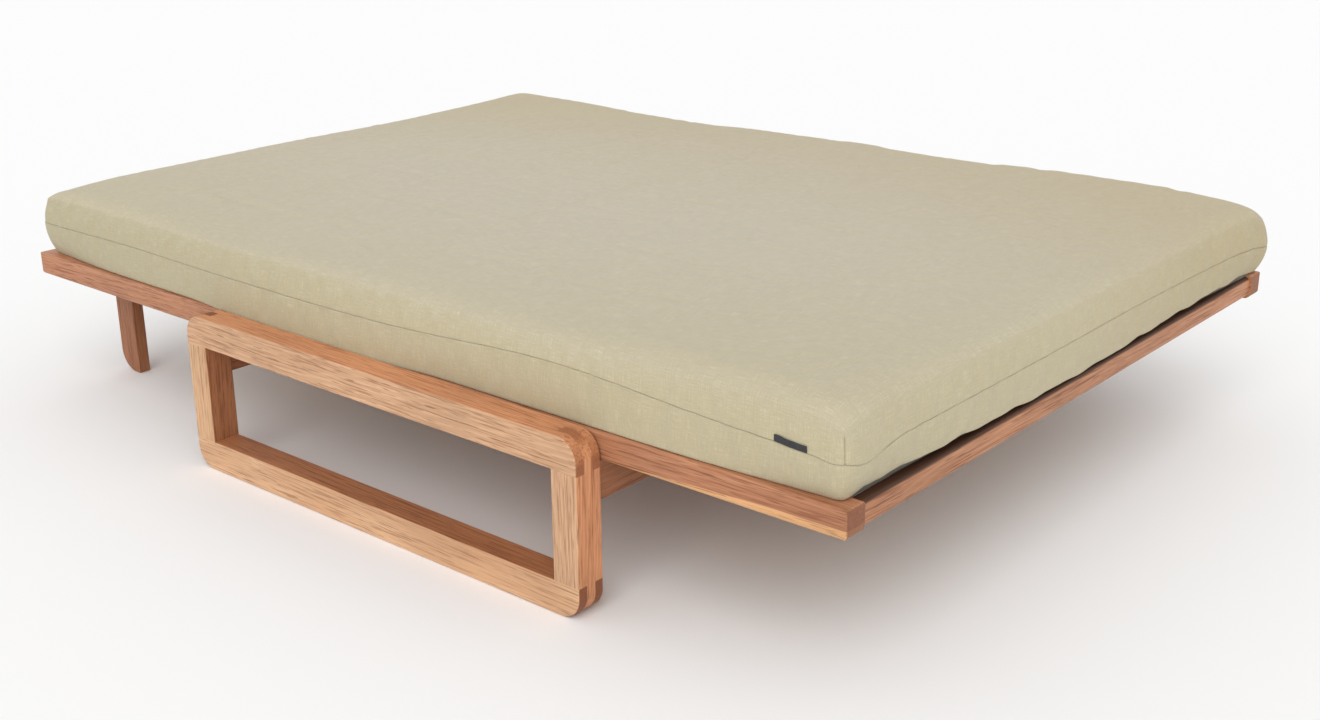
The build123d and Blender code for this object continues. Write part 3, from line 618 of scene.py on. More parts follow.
@dataclass(frozen=True)
class Canvas:
    """Unbleached cotton canvas."""

    colour: Colour = (0.620, 0.560, 0.437, 1.0)
    thread: Colour = (0.695, 0.640, 0.520, 1.0)
    hollow: Colour = (0.430, 0.375, 0.270, 1.0)
    # From crease on, the colours are painted shade: in the seams' creases, on the underside near the hem, on
    # the upright sides, towards the right, and far from the near corner
    crease: Colour = (0.230, 0.180, 0.110, 1.0)
    shaded: Colour = (0.060, 0.048, 0.030, 1.0)
    side_painted_light: Colour = (0.965, 0.945, 0.810, 1.0)
    far: Colour = (0.960, 0.925, 0.855, 1.0)
    far_painted_shade: Colour = (0.880, 0.880, 0.870, 1.0)

    # The cloth, and the strength of the seams' painted shade at the near corner and far from it
    near_corner: Point = (-0.70, -0.98, 0.35)
    pitch: float = 0.0011
    roughness: float = 0.88
    sheen: float = 0.18
    gloss: float = 0.2
    slow_drift: float = 0.02
    mottle: float = 0.08
    seam_shade_strength: Spot = (0.42, 0.20)
    crumple: float = 0.0007
    relief: float = 0.00035

    def material(self, name: str, effects: Effects) -> bpy.types.Material:
        """Makes the cover's cloth, whose threads follow the panels' own flat pattern.

        Args:
            name: Name of the material.
            effects: Shared node groups.

        Returns:
            The material.
        """
        material, g, shader = new_material(name)
        coordinates = g.node("ShaderNodeTexCoord").outputs
        place = coordinates["Object"]
        cloth = use_group(g, effects.weave, Vector=coordinates["UV"], Pitch=self.pitch).outputs
        colour = g.blend(g.span(cloth["Height"], 0.25, 0.85, 0.0, 1.0), self.hollow, self.colour)
        colour = g.blend(g.span(cloth["Slub"], 0.50, 0.72, 0.0, 0.7), colour, self.thread)
        for scale, amount in ((9.0, self.slow_drift), (380.0, self.mottle)):
            drift = use_group(g, effects.drift, Vector=place, Color=colour, Scale=scale, Amount=amount)
            colour = drift.outputs["Color"]
        from_corner = g.measure("DISTANCE", place, self.near_corner)
        colour = self.by_light(g, place, coordinates["Normal"], from_corner, colour)
        colour = g.blend(g.span(g.attribute("shade"), 0.1, 0.9, 0.0, 0.9), colour, self.shaded)
        # Painted shade in the seams' creases, stronger near the near corner
        strength = g.span(from_corner, 0.20, 1.70, *self.seam_shade_strength)
        mask = g.math("MULTIPLY", g.span(g.attribute("seam"), 0.70, 1.0, 0.0, 1.0), strength)
        g.feed(shader.inputs["Base Color"], g.blend(mask, colour, self.crease))
        shader.inputs["Roughness"].default_value = self.roughness
        shader.inputs["Sheen Weight"].default_value = self.sheen
        shader.inputs["Sheen Roughness"].default_value = 0.5
        shader.inputs["Specular IOR Level"].default_value = self.gloss
        soft = g.bump(g.noise(coordinates["UV"], 26.0, 4.0, 0.6), self.crumple, 0.6)
        g.feed(shader.inputs["Normal"], g.bump(cloth["Height"], self.relief, 0.8, soft))
        return material

    def by_light(self, g: Graph, place: Socket, normal: Socket, distance: Socket, colour: Socket) -> Socket:
        """Paints light and shade into the cloth's colour, by the way it faces and by its place on the bed.

        Args:
            g: The material's Graph.
            place: Object coordinates.
            normal: Normal in object space.
            distance: Distance from the near corner.
            colour: Colour of the cloth.

        Returns:
            Colour socket.
        """
        up = g.measure("DOT_PRODUCT", normal, (0.0, 0.0, 1.0))
        plan = g.measure("LENGTH", g.scaled(place, (1.0, 0.7, 0.0)))
        # Painted light: the upright sides take a darker, yellower tint, which also grows towards the rim in
        # plan
        painted_side_mask = g.math("MAXIMUM", g.span(up, 0.15, 0.97, 1.0, 0.0), g.span(plan, 0.30, 0.95, 0.0, 0.60))
        colour = g.blend(painted_side_mask, colour, self.side_painted_light, "MULTIPLY")
        # Painted shade: the cloth darkens and yellows towards the right of the bed
        right = g.span(g.parts(place).outputs["X"], -0.20, 0.65, 0.0, 1.0)
        colour = g.blend(right, colour, self.far, "MULTIPLY")
        # Painted shade: the sides darken with distance from the near corner
        far_shade_mask = g.math("MULTIPLY", g.span(up, 0.15, 0.90, 1.0, 0.0), g.span(distance, 0.60, 1.90, 0.0, 1.0))
        return g.blend(far_shade_mask, colour, self.far_painted_shade, "MULTIPLY")


@dataclass(frozen=True)
class Tape:
    """Dark woven tape."""

    colour: Colour = (0.045, 0.045, 0.050, 1.0)
    dark: Colour = (0.018, 0.018, 0.020, 1.0)
    pitch: float = 0.0006
    roughness: float = 0.8
    relief: float = 0.0002

    def material(self, name: str, effects: Effects) -> bpy.types.Material:
        """Makes the tape's cloth.

        Args:
            name: Name of the material.
            effects: Shared node groups.

        Returns:
            The material.
        """
        material, g, shader = new_material(name)
        place = g.node("ShaderNodeTexCoord").outputs["Object"]
        cloth = use_group(g, effects.weave, Vector=place, Pitch=self.pitch)
        colour = g.blend(cloth.outputs["Height"], self.dark, self.colour)
        tone = use_group(g, effects.drift, Vector=place, Color=colour, Scale=150.0, Amount=0.12)
        g.feed(shader.inputs["Base Color"], tone.outputs["Color"])
        shader.inputs["Roughness"].default_value = self.roughness
        g.feed(shader.inputs["Normal"], g.bump(cloth.outputs["Height"], self.relief, 0.8))
        return material


@dataclass(frozen=True)
class Steel:
    """Zinc-plated steel."""

    colour: Colour = (0.56, 0.56, 0.53, 1.0)
    dull: Colour = (0.36, 0.36, 0.35, 1.0)
    roughness: float = 0.32
    mark_pitches: Point = (3000.0, 300.0, 3000.0)
    relief: float = 0.00003

    def material(self, name: str, effects: Effects) -> bpy.types.Material:
        """Makes the plating, with drawn marks and dull patches.

        Args:
            name: Name of the material.
            effects: Shared node groups.

        Returns:
            The material.
        """
        material, g, shader = new_material(name)
        place = g.node("ShaderNodeTexCoord").outputs["Object"]
        drawn = g.noise(g.scaled(place, self.mark_pitches), 1.0)
        colour = g.blend(g.span(drawn, 0.35, 0.7, 0.0, 0.6), self.colour, self.dull)
        tone = use_group(g, effects.drift, Vector=place, Color=colour, Scale=90.0, Amount=0.18)
        g.feed(shader.inputs["Base Color"], tone.outputs["Color"])
        shader.inputs["Metallic"].default_value = 1.0
        spread = g.span(tone.outputs["Mask"], 0.3, 0.7, self.roughness - 0.06, self.roughness + 0.14)
        g.feed(shader.inputs["Roughness"], spread)
        g.feed(shader.inputs["Normal"], g.bump(drawn, self.relief, 0.5))
        return material


def object_from(name: str, mesh: bpy.types.Mesh) -> bpy.types.Object:
    """Puts a mesh into the scene under its own name.

    Args:
        name: Name of the piece.
        mesh: Its mesh, in the row frame.

    Returns:
        The new object, at the origin.
    """
    made = bpy.data.objects.new(name, mesh)
    bpy.context.scene.collection.objects.link(made)
    return made


def evaluated_mesh(piece: bpy.types.Object) -> bpy.types.Mesh:
    """Returns a plain mesh of a piece with its modifiers applied.

    Args:
        piece: Object with modifiers.

    Returns:
        A new mesh.
    """
    graph = bpy.context.evaluated_depsgraph_get()
    return bpy.data.meshes.new_from_object(piece.evaluated_get(graph), depsgraph=graph)


def subdivide(piece: bpy.types.Object) -> None:
    """Subdivides a piece once and keeps the result as its own plain mesh.

    Args:
        piece: Object whose mesh is a cage.
    """
    finer = piece.modifiers.new("finer", "SUBSURF")
    finer.levels = finer.render_levels = 1
    mesh = evaluated_mesh(piece)
    piece.modifiers.clear()
    piece.data = mesh


def smooth(mesh: bpy.types.Mesh) -> None:
    """Shades every face smoothly."""
    mesh.polygons.foreach_set("use_smooth", [True] * len(mesh.polygons))
    mesh.update()


def numbers(items: Sequence[bpy.types.bpy_struct], name: str, width: int = 1) -> np.ndarray:
    """Reads one attribute of all the items of a collection.

    Args:
        items: Vertices of a mesh, or the data of a layer.
        name: Name of the attribute.
        width: How many numbers it has.

    Returns:
        One number, or one row of numbers, for each item.
    """
    found = np.empty(len(items) * width)
    items.foreach_get(name, found)
    return found if width == 1 else found.reshape(-1, width)


def rim_of(columns: int, rows: int) -> list[tuple[int, int]]:
    """Lists the outer corners of a grid's cells.

    Args:
        columns: Number of cells across.
        rows: Number of cells along.

    Returns:
        Column and row of each, counter-clockwise from the first corner.
    """
    found = [(i, 0) for i in range(columns)] + [(columns, j) for j in range(rows)]
    return found + [(i, rows) for i in range(columns, 0, -1)] + [(0, j) for j in range(rows, 0, -1)]


@dataclass
class OakFrame:
    """The oak boards and the metal fixings, which keep their own solids."""

    effects: Effects
    oak: Oak = Oak()
    zinc: Steel = Steel()
    hinge: Steel = Steel(colour=(0.40, 0.40, 0.39, 1.0), roughness=0.4)
    first_seed: int = 4100

    def grain_of(self, node: str) -> Grain:
        """Tells which way a board's grain runs.

        Args:
            node: Name of the board.

        Returns:
            Its grain.
        """
        if node.endswith(("post", "leg")):
            return Grain.UPRIGHT
        across = ("cross_rail", "bearer", "foot_rail", "head_rail", "tie", "lower_rail", "leg_rail")
        return Grain.ACROSS if node.endswith(across) else Grain.LENGTHWISE

    def tone_of(self, node: str) -> Tone:
        """Tells a board's tone.

        Args:
            node: Name of the board.

        Returns:
            Its tone.
        """
        if "loop" in node:
            return Tone.LOOP
        return Tone.SHADED if node.endswith(("leg", "cross_rail")) else Tone.RAIL

    def dress(self) -> None:
        """Gives each board its own oak, and each fixing its plating."""
        slots = {row["node"]: row["material_slot"] for row in frame["record"]["subparts"]}
        plating = {
            "zinc_fixings": self.zinc.material("zinc_fixings", self.effects),
            "hinge_steel": self.hinge.material("hinge_steel", self.effects),
        }
        for number, (node, piece) in enumerate(sorted(frame["nodes"].items())):
            slot = slots[node]
            if slot == "oak":
                seed, sapwood = self.first_seed + number, node == "left_front_rail"
                board = Board(node, self.grain_of(node), self.tone_of(node), seed, sapwood)
                made = self.oak.material(board, self.effects)
            elif slot in plating:
                made = plating[slot]
            else:
                continue
            for place in piece.material_slots:
                place.material = made
            log.info("%s is dressed as %s", node, made.name)


@dataclass(frozen=True)
class Hump:
    """Smooth local rise or dip along one side of the mattress."""

    centre: float
    spread: float
    height: float

    def at(self, place: float) -> float:
        """Height of the hump at a place."""
        return self.height * math.exp(-(((place - self.centre) / self.spread) ** 2))


@dataclass(frozen=True)
class Wave:
    """Regular wave along an edge."""

    length: float
    height: float
    crest: float

    def at(self, place: float) -> float:
        """Height of the wave at a place."""
        return self.height * math.cos(math.tau * (place - self.crest) / self.length)


def rise_at(humps: Sequence[Union[Hump, Wave]], place: float) -> float:
    """Height of several humps or waves together, at a place."""
    return sum(hump.at(place) for hump in humps)


@dataclass(frozen=True)
class Unevenness:
    """Smooth, irregular rise and fall over the whole mattress."""

    height: float
    scale: float
    level: float

    def at(self, x: float, y: float) -> float:
        """Height at a place."""
        return self.height * noise.noise(Vector((x * self.scale, y * self.scale, self.level)))


@dataclass
class Cage:
    """Points and faces of a mesh in the making, with seam marks and the cloth's flat pattern."""

    points: list[Point] = field(default_factory=list)
    marks: list[float] = field(default_factory=list)
    shades: list[float] = field(default_factory=list)
    faces: list[tuple[int, ...]] = field(default_factory=list)
    pattern: list[list[Spot]] = field(default_factory=list)

    def point(self, x: float, y: float, z: float, mark: float = 0.0, shade: float = 0.0) -> int:
        """Adds a point.

        Args:
            x: Place across the bed.
            y: Place along the bed.
            z: Height over the underside.
            mark: 1 on a seam, 0 elsewhere.
            shade: 1 on the underside near the hem, 0 elsewhere.

        Returns:
            The point's number.
        """
        self.points.append((x, y, z))
        self.marks.append(mark)
        self.shades.append(shade)
        return len(self.points) - 1

    def face(self, corners: Sequence[int], flat: Optional[Sequence[Spot]] = None) -> None:
        """Adds a face.

        Args:
            corners: Its points' numbers, counter-clockwise from outside.
            flat: Its corners on the flat pattern, or None for the plan view.
        """
        self.faces.append(tuple(corners))
        self.pattern.append([self.points[c][:2] for c in corners] if flat is None else list(flat))

    def mesh(self, name: str, bottom: float) -> bpy.types.Mesh:
        """Turns the cage into a mesh.

        Args:
            name: Name of the mesh.
            bottom: Height of the underside over the floor.

        Returns:
            The mesh, with the layers "pattern", "seam" and "shade".
        """
        mesh = bpy.data.meshes.new(name)
        mesh.from_pydata([(x, y, z + bottom) for x, y, z in self.points], [], self.faces)
        layer = mesh.uv_layers.new(name="pattern")
        layer.data.foreach_set("uv", [number for spots in self.pattern for spot in spots for number in spot])
        mesh.attributes.new("seam", "FLOAT", "POINT").data.foreach_set("value", self.marks)
        mesh.attributes.new("shade", "FLOAT", "POINT").data.foreach_set("value", self.shades)
        return mesh


@dataclass(frozen=True)
class Settling:
    """How the cover settles as cloth: how firmly it is held at each height, and the cloth's own values."""

    # How firmly the underside, the hem, the brow and all the rest are held, and where each ends
    base_hold: float = 1.0
    hem_hold: float = 0.7
    brow_hold: float = 0.5
    other_hold: float = 0.30
    base_height: float = 0.0015
    hem_height: float = 0.014
    brow_reach: float = 0.018

    # The cloth: how much it grows and how much its tight parts shrink are shares of its size
    quality: int = 5
    mass: float = 0.35
    stretch_stiffness: float = 18.0
    shear_stiffness: float = 8.0
    bending_stiffness: float = 2.0
    pressure: float = 3.0
    growth: float = 0.012
    tightening: float = 0.008

    # How long it settles, and how far a point may move
    frames: int = 20
    limit: float = 0.014

    def firmness(self, height: np.ndarray, brow: float) -> np.ndarray:
        """Tells how firmly each point is held.

        Args:
            height: Height of each point over the underside.
            brow: Height of the top panel's edge.

        Returns:
            A share for each point.
        """
        firm = np.where(height < self.hem_height, self.hem_hold, self.other_hold)
        firm[height < self.base_height] = self.base_hold
        firm[abs(height - brow) < self.brow_reach] = self.brow_hold
        return firm

    def add_cloth(self, piece: bpy.types.Object) -> None:
        """Makes a piece cloth that is a little larger than its filling.

        Args:
            piece: Object with the vertex groups "hold" and "tight".
        """
        cloth = piece.modifiers.new("cloth", "CLOTH")
        settings = cloth.settings
        settings.quality = self.quality
        settings.mass = self.mass
        settings.tension_stiffness = settings.compression_stiffness = self.stretch_stiffness
        settings.shear_stiffness = self.shear_stiffness
        settings.bending_stiffness = self.bending_stiffness
        settings.use_pressure = True
        settings.uniform_pressure_force = self.pressure
        settings.vertex_group_mass = "hold"
        settings.pin_stiffness = 1.0
        settings.vertex_group_shrink = "tight"
        settings.shrink_min = -self.growth
        settings.shrink_max = self.tightening
        settings.effector_weights.gravity = 0.0
        cloth.collision_settings.use_collision = False


class Row(NamedTuple):
    """Row of points on the mattress's sides, at one place on the outline."""

    inset: float
    height: float
    on_seam: bool = False
    below: bool = False


@dataclass
class Mattress:
    """Canvas futon mattress: one closed cushion, parted where the bed slides."""

    canvas: bpy.types.Material

    # Outline and place
    half_width: float = 0.6985
    half_length: float = 0.9815
    bottom: float = 0.2905
    cell: float = 0.0125
    side_bow: float = 0.003
    corner: float = 0.026
    corner_push: Spot = (0.022, 0.014)
    push_reach: Spot = (0.55, 0.22)
    side_sharpness: float = 15.0

    # Top panel, from its edge, the brow, to its crown
    brow_corner: float = 0.015
    brow_inset: float = 0.012
    brow_height: float = 0.117
    foot_corner_drop: float = 0.017
    back_corner_drop: float = 0.007
    drop_reach: float = 0.045
    edge_height: float = 0.131
    crown_height: float = 0.151
    side_swell: float = 2.2
    end_swell: float = 3.0
    roll: float = 0.014
    pinch: float = 0.005
    pinch_reach: float = 0.022
    least_gap: float = 1e-5
    left_edge: tuple[Hump, ...] = (Hump(0.40, 0.17, -0.006), Hump(-0.75, 0.35, 0.005))
    right_edge: tuple[Hump, ...] = (
        Hump(0.44, 0.19, -0.0165), Hump(-0.14, 0.20, 0.0025),
        Hump(-0.70, 0.28, 0.008), Hump(-1.0, 0.10, -0.011),
    )
    foot_edge: tuple[Hump, ...] = (Hump(0.70, 0.07, -0.006), Hump(-0.25, 0.35, 0.002))
    back_edge: tuple[Hump, ...] = (
        Hump(-0.71, 0.12, -0.015), Hump(0.20, 0.28, -0.009), Hump(0.69, 0.14, 0.006)
    )
    edge_unevenness: Unevenness = Unevenness(0.0030, 3.3, 21.4)
    top_unevenness: tuple[Unevenness, ...] = (Unevenness(0.0034, 2.4, 3.7), Unevenness(0.0014, 6.0, 9.1))

    # Flap from the brow to the seam, and boxing from the seam to the hem
    flap_shares: tuple[float, ...] = (0.80, 0.58, 0.36, 0.16)
    flap_curve: float = 1.7
    boxing_shares: tuple[float, ...] = (0.16, 0.38, 0.62, 0.84, 0.95, 1.0)
    boxing_pattern: Spot = (5.0, 3.0)
    seam_level: float = 0.0640
    left_seam: tuple[Hump, ...] = (
        Hump(-0.45, 0.27, 0.0215), Hump(0.65, 0.20, 0.004), Hump(-1.0, 0.08, -0.010)
    )
    right_seam: tuple[Hump, ...] = (Hump(0.30, 0.30, 0.006), Hump(-0.98, 0.09, -0.010))
    foot_seam: tuple[Hump, ...] = (
        Hump(-0.65, 0.05, -0.014), Hump(0.69, 0.07, -0.012), Hump(0.10, 0.20, 0.002)
    )
    crease: float = 0.0022
    crease_depth: float = 0.0020
    crease_from: float = 0.6
    pucker: float = 0.0022
    pucker_scale: float = 24.0
    pucker_stretch: float = 0.5
    pucker_rest: float = 0.12
    pucker_reach: float = 0.16

    # Hem, which curls up over the end rails and hangs down beside the fixed seat
    hem_inset: float = 0.0025
    hem_gap: float = 0.0042
    gap_reach: float = 0.045
    hem_waves: tuple[Wave, ...] = (
        Wave(1.05, 0.0046, 0.50), Wave(0.145, 0.0012, 0.03), Wave(0.083, 0.0007, 0.01)
    )
    corner_tuck: float = 0.013
    tuck_reach: float = 0.16
    seat_middle: float = 0.140
    seat_reach: float = 0.270
    seat_press: float = 0.0060
    seat_steepness: int = 6
    seat_drop: float = 0.8

    # Underside
    hem_fold: float = 0.4
    base_fold: float = 0.0165
    least_fold: float = 0.0045
    rail_drop: float = 0.0062
    rail_width: float = 0.010
    base_inset: float = 0.100
    base_drop: float = 0.0035

    # Moving and settling
    parting: float = -0.285
    gathered: float = 0.384
    hinge_y: float = 0.373
    hinge_z: float = 0.267
    fold_reach: float = 0.150
    settling: Settling = Settling()

    def sideways(self, x: float, y: float) -> float:
        """Tells how far a place on the outline belongs to a long side.

        Args:
            x: Place across the bed.
            y: Place along the bed.

        Returns:
            1 on a long side, 0 on an end, and between them at a corner.
        """
        lead = abs(x) / self.half_width - abs(y) / self.half_length
        return min(max(0.5 + self.side_sharpness * lead, 0.0), 1.0)

    def seam_height(self, x: float, y: float) -> float:
        """Height of the seam over the underside, at a place on the outline.

        Args:
            x: Place across the bed.
            y: Place along the bed.

        Returns:
            Height in metres.
        """
        share = self.sideways(x, y)
        side = rise_at(self.left_seam if x < 0 else self.right_seam, y)
        end = rise_at(self.foot_seam, x) if y < 0 else 0.0
        return self.seam_level + share * side + (1 - share) * end

    def hem_lift(self, x: float, y: float) -> float:
        """Height by which the hem curls up from the end rails, at a place on the outline.

        Args:
            x: Place across the bed.
            y: Place along the bed.

        Returns:
            Height in metres.
        """
        rest = 1 - math.exp(-((max(self.half_width - abs(x), 0.0) / self.gap_reach) ** 2))
        end = rest * (self.hem_gap + rise_at(self.hem_waves, x))
        share = self.sideways(x, y)
        return (1 - share) * end - share * self.seat_drop * self.pressed(y)

    def pressed(self, y: float) -> float:
        """Distance by which the hem is pressed out beside the fixed seat, where no side rail carries it."""
        off = (y - self.seat_middle) / self.seat_reach
        return self.seat_press * math.exp(-(off**self.seat_steepness))

    def away(self, x: float, y: float) -> float:
        """Distance round the outline from a place on it to the nearest corner."""
        return max(self.half_width - abs(x), 0.0) + max(self.half_length - abs(y), 0.0)

    def brow(self, x: float, y: float) -> float:
        """Height of the top panel's edge over the underside, lower at the corners."""
        drop = self.foot_corner_drop if y < 0 else self.back_corner_drop
        return self.brow_height - drop * math.exp(-((self.away(x, y) / self.drop_reach) ** 2))

    def tuck(self, x: float, y: float) -> float:
        """Distance by which the hem is drawn in, most at the corners.

        Args:
            x: Place across the bed.
            y: Place along the bed.

        Returns:
            Distance in metres.
        """
        corner = self.corner_tuck * math.exp(-((self.away(x, y) / self.tuck_reach) ** 2))
        return self.hem_inset + corner - self.sideways(x, y) * self.pressed(y)

    def puckered(self, x: float, y: float, height: float) -> float:
        """Distance by which a pucker draws the cover in beside a seam near a corner.

        Args:
            x: Place across the bed.
            y: Place along the bed.
            height: Height over the underside.

        Returns:
            Distance in metres.
        """
        near = self.pucker_rest + math.exp(-((self.away(x, y) / self.pucker_reach) ** 2))
        k = self.pucker_scale
        return self.pucker * near * noise.noise(Vector((x * k, y * k, height * self.pucker_stretch * k)))

    def plan(self, u: float, v: float, inset: float) -> Spot:
        """Place on the plan, drawn in by inset, with bowed sides, round corners and one corner pushed out.

        Args:
            u: Share of the half width, from -1 to 1.
            v: Share of the half length, from -1 to 1.
            inset: Distance of the whole outline inside the widest one.

        Returns:
            X and Y.
        """
        wide = self.half_width - inset - self.side_bow * v * v
        long = self.half_length - inset - self.side_bow * u * u
        radius = max(self.corner - inset, self.brow_corner)
        x, y = u * wide, v * long
        core_x = min(max(x, radius - wide), wide - radius)
        core_y = min(max(y, radius - long), long - radius)
        p, q = (x - core_x) / radius, (y - core_y) / radius
        x = core_x + radius * p * math.sqrt(max(0.0, 1 - q * q / 2))
        y = core_y + radius * q * math.sqrt(max(0.0, 1 - p * p / 2))
        by_side = max(u, 0.0) ** 3 * math.exp(-(((y + self.half_length) / self.push_reach[0]) ** 2))
        by_end = max(-v, 0.0) ** 3 * math.exp(-(((x - self.half_width) / self.push_reach[1]) ** 2))
        return x + self.corner_push[0] * by_side, y - self.corner_push[1] * by_end

    def top_height(self, x: float, y: float, wide: float, long: float) -> float:
        """Height of the top panel over the underside.

        Args:
            x: Place across the panel.
            y: Place along the panel.
            wide: Half width of the panel's outline.
            long: Half length of the panel's outline.

        Returns:
            Height in metres.
        """
        side_gap, end_gap = max(wide - abs(x), self.least_gap), max(long - abs(y), self.least_gap)
        gap = (side_gap**-2 + end_gap**-2) ** -0.5
        share = end_gap**2 / (end_gap**2 + side_gap**2)
        edge = self.edge_height + share * rise_at(self.left_edge if x < 0 else self.right_edge, y)
        edge += (1 - share) * rise_at(self.foot_edge if y < 0 else self.back_edge, x)
        edge += self.edge_unevenness.at(x, y)
        edge -= self.pinch * math.exp(-((math.hypot(side_gap, end_gap) / self.pinch_reach) ** 2))
        swell = max((1 - abs(x / wide) ** self.side_swell) * (1 - abs(y / long) ** self.end_swell), 0.0)
        soft = sum(part.at(x, y) for part in self.top_unevenness)
        height = edge + (self.crown_height - edge) * swell + soft
        brow = self.brow(x * self.half_width / wide, y * self.half_length / long)
        return brow + (height - brow) * (1.0 - math.exp(-gap / self.roll))

    def shares(self, half: float) -> list[float]:
        """Places of the cage's columns, with one more close to each end beside the darts.

        Args:
            half: Half of the panel's size.

        Returns:
            Shares from -1 to 1.
        """
        count, close = 2 * round(half / self.cell), self.crease / half
        return [-1.0, close - 1.0, *(2 * i / count - 1 for i in range(1, count)), 1.0 - close, 1.0]

    def rows(self, brow: float, seam: float, lift: float, tuck: float) -> list[Row]:
        """Rows of the cage below the brow, at one place on the outline.

        Args:
            brow: Height of the top panel's edge.
            seam: Height of the seam.
            lift: Height of the hem.
            tuck: Distance by which the hem is drawn in.

        Returns:
            The rows, from the brow down.
        """
        rise = brow - seam
        found = [Row(self.brow_inset * t**self.flap_curve, seam + rise * t) for t in self.flap_shares]
        found += [Row(0.0, seam + self.crease), Row(0.0, seam, on_seam=True)]
        found.append(Row(0.0, seam - self.crease, below=True))
        found += [Row(tuck * t * t, seam + (lift - seam) * t, below=True) for t in self.boxing_shares]
        return found

    def flat_place(self, side: int, across: float, along: float, fall: float, below: bool) -> Spot:
        """Place on the flat pattern of a point on the mattress's side.

        Args:
            side: 0 for the foot end, then 1, 2 and 3 counter-clockwise.
            across: Place across the top panel.
            along: Place along the top panel.
            fall: Distance down from the top panel's edge.
            below: True for the boxing, which is cut apart from the top.

        Returns:
            Place in metres.
        """
        if below:
            start, step = self.boxing_pattern
            return (across if side % 2 == 0 else along), start + step * side + fall
        step_x, step_y = ((0, -1), (1, 0), (0, 1), (-1, 0))[side]
        return across + step_x * fall, along + step_y * fall

    def cage(self) -> bpy.types.Mesh:
        """Builds the mattress's cage.

        Returns:
            A closed mesh.
        """
        wide, long = self.half_width - self.brow_inset, self.half_length - self.brow_inset
        us, vs = self.shares(wide), self.shares(long)
        nx, ny = len(us) - 1, len(vs) - 1
        cage, grid = Cage(), {}
        for j, v in enumerate(vs):
            for i, u in enumerate(us):
                x, y = self.plan(u, v, self.brow_inset)
                grid[i, j] = cage.point(x, y, self.top_height(u * wide, v * long, wide, long))
        for j in range(ny):
            for i in range(nx):
                cell = ((i, j), (i + 1, j), (i + 1, j + 1), (i, j + 1))
                cage.face([grid[c] for c in cell], [(us[a] * wide, vs[b] * long) for a, b in cell])
        rim = rim_of(nx, ny)
        hem = self.lay_sides(cage, [grid[c] for c in rim], [(us[i], vs[j]) for i, j in rim], (nx, ny))
        self.lay_base(cage, hem, [(us[i], vs[j]) for i, j in rim], (nx, ny))
        return cage.mesh("mattress_cage", self.bottom)

    def lay_sides(self, cage: Cage, brow: list[int], rim: list[Spot], size: tuple[int, int]) -> list[int]:
        """Adds the flap above the seam and the boxing below it.

        Args:
            cage: Cage to add to.
            brow: Points of the top panel's edge.
            rim: Shares of the half sizes for each of them.
            size: Cells across and along.

        Returns:
            Points of the hem.
        """
        wide, long = self.half_width - self.brow_inset, self.half_length - self.brow_inset
        nx, ny = size
        count = len(rim)
        corners = {0, nx, nx + ny, 2 * nx + ny}
        columns = []
        for u, v in rim:
            x, y = u * self.half_width, v * self.half_length
            heights = (self.brow(x, y), self.seam_height(x, y), self.hem_lift(x, y))
            columns.append(self.rows(*heights, self.tuck(x, y)))
        high, falls = brow, [0.0] * count
        for row in range(len(columns[0])):
            low, new_falls = [], []
            for k, (u, v) in enumerate(rim):
                here = columns[k][row]
                x, y = self.plan(u, v, 0.0)
                drawn_in = 0.0 if here.on_seam else self.puckered(x, y, here.height)
                x, y = self.plan(u, v, here.inset + drawn_in)
                sewn = here.on_seam or (k in corners and not here.below)
                low.append(cage.point(x, y, here.height, float(sewn)))
                new_falls.append(self.brow_height - here.height)
            for k in range(count):
                n = (k + 1) % count
                side = sum(k >= corner for corner in corners) - 1
                spots = ((k, new_falls[k]), (n, new_falls[n]), (n, falls[n]), (k, falls[k]))
                flat = [
                    self.flat_place(side, rim[c][0] * wide, rim[c][1] * long, fall, columns[c][row].below)
                    for c, fall in spots
                ]
                cage.face((low[k], low[n], high[n], high[k]), flat)
            high, falls = low, new_falls
        return high

    def base_rows(self, x: float, y: float, hem: float) -> list[Point]:
        """Rows of the underside, from the hem inwards, at one place on the outline.

        Args:
            x: Place across the bed.
            y: Place along the bed.
            hem: Height of the hem.

        Returns:
            Inset, height and shade.
        """
        tuck = self.tuck(x, y)
        rest = max(self.hem_inset + self.base_fold, tuck + self.least_fold)
        low = -self.rail_drop * (1 - self.sideways(x, y))
        return [
            (tuck + self.hem_fold * (rest - tuck), hem, 1.0),
            (rest, low, 1.0),
            (rest + self.rail_width, low, 1.0),
            (self.base_inset, -self.base_drop, 0.0),
        ]

    def lay_base(self, cage: Cage, hem: list[int], rim: list[Spot], size: tuple[int, int]) -> None:
        """Closes the underside with rings and, inside them, strips across the bed.

        Args:
            cage: Cage to add to.
            hem: Points of the hem.
            rim: Shares of the half sizes for each of them.
            size: Cells across and along.
        """
        nx, ny = size
        count, outer = len(rim), hem
        columns = [
            self.base_rows(u * self.half_width, v * self.half_length, cage.points[point][2])
            for (u, v), point in zip(rim, hem)
        ]
        for level in range(len(columns[0])):
            ring = []
            for (u, v), column in zip(rim, columns):
                inset, height, shade = column[level]
                ring.append(cage.point(*self.plan(u, v, inset), height, shade=shade))
            for k in range(count):
                n = (k + 1) % count
                cage.face((ring[k], ring[n], outer[n], outer[k]))
            outer = ring
        left = [ring[0]] + [ring[count - j] for j in range(1, ny + 1)]
        right = [ring[nx + j] for j in range(ny + 1)]
        cage.face([left[1], right[1], *ring[nx::-1]])
        for j in range(1, ny - 1):
            cage.face((left[j], left[j + 1], right[j + 1], right[j]))
        cage.face([right[ny - 1], left[ny - 1], *ring[nx + ny:2 * nx + ny + 1][::-1]])

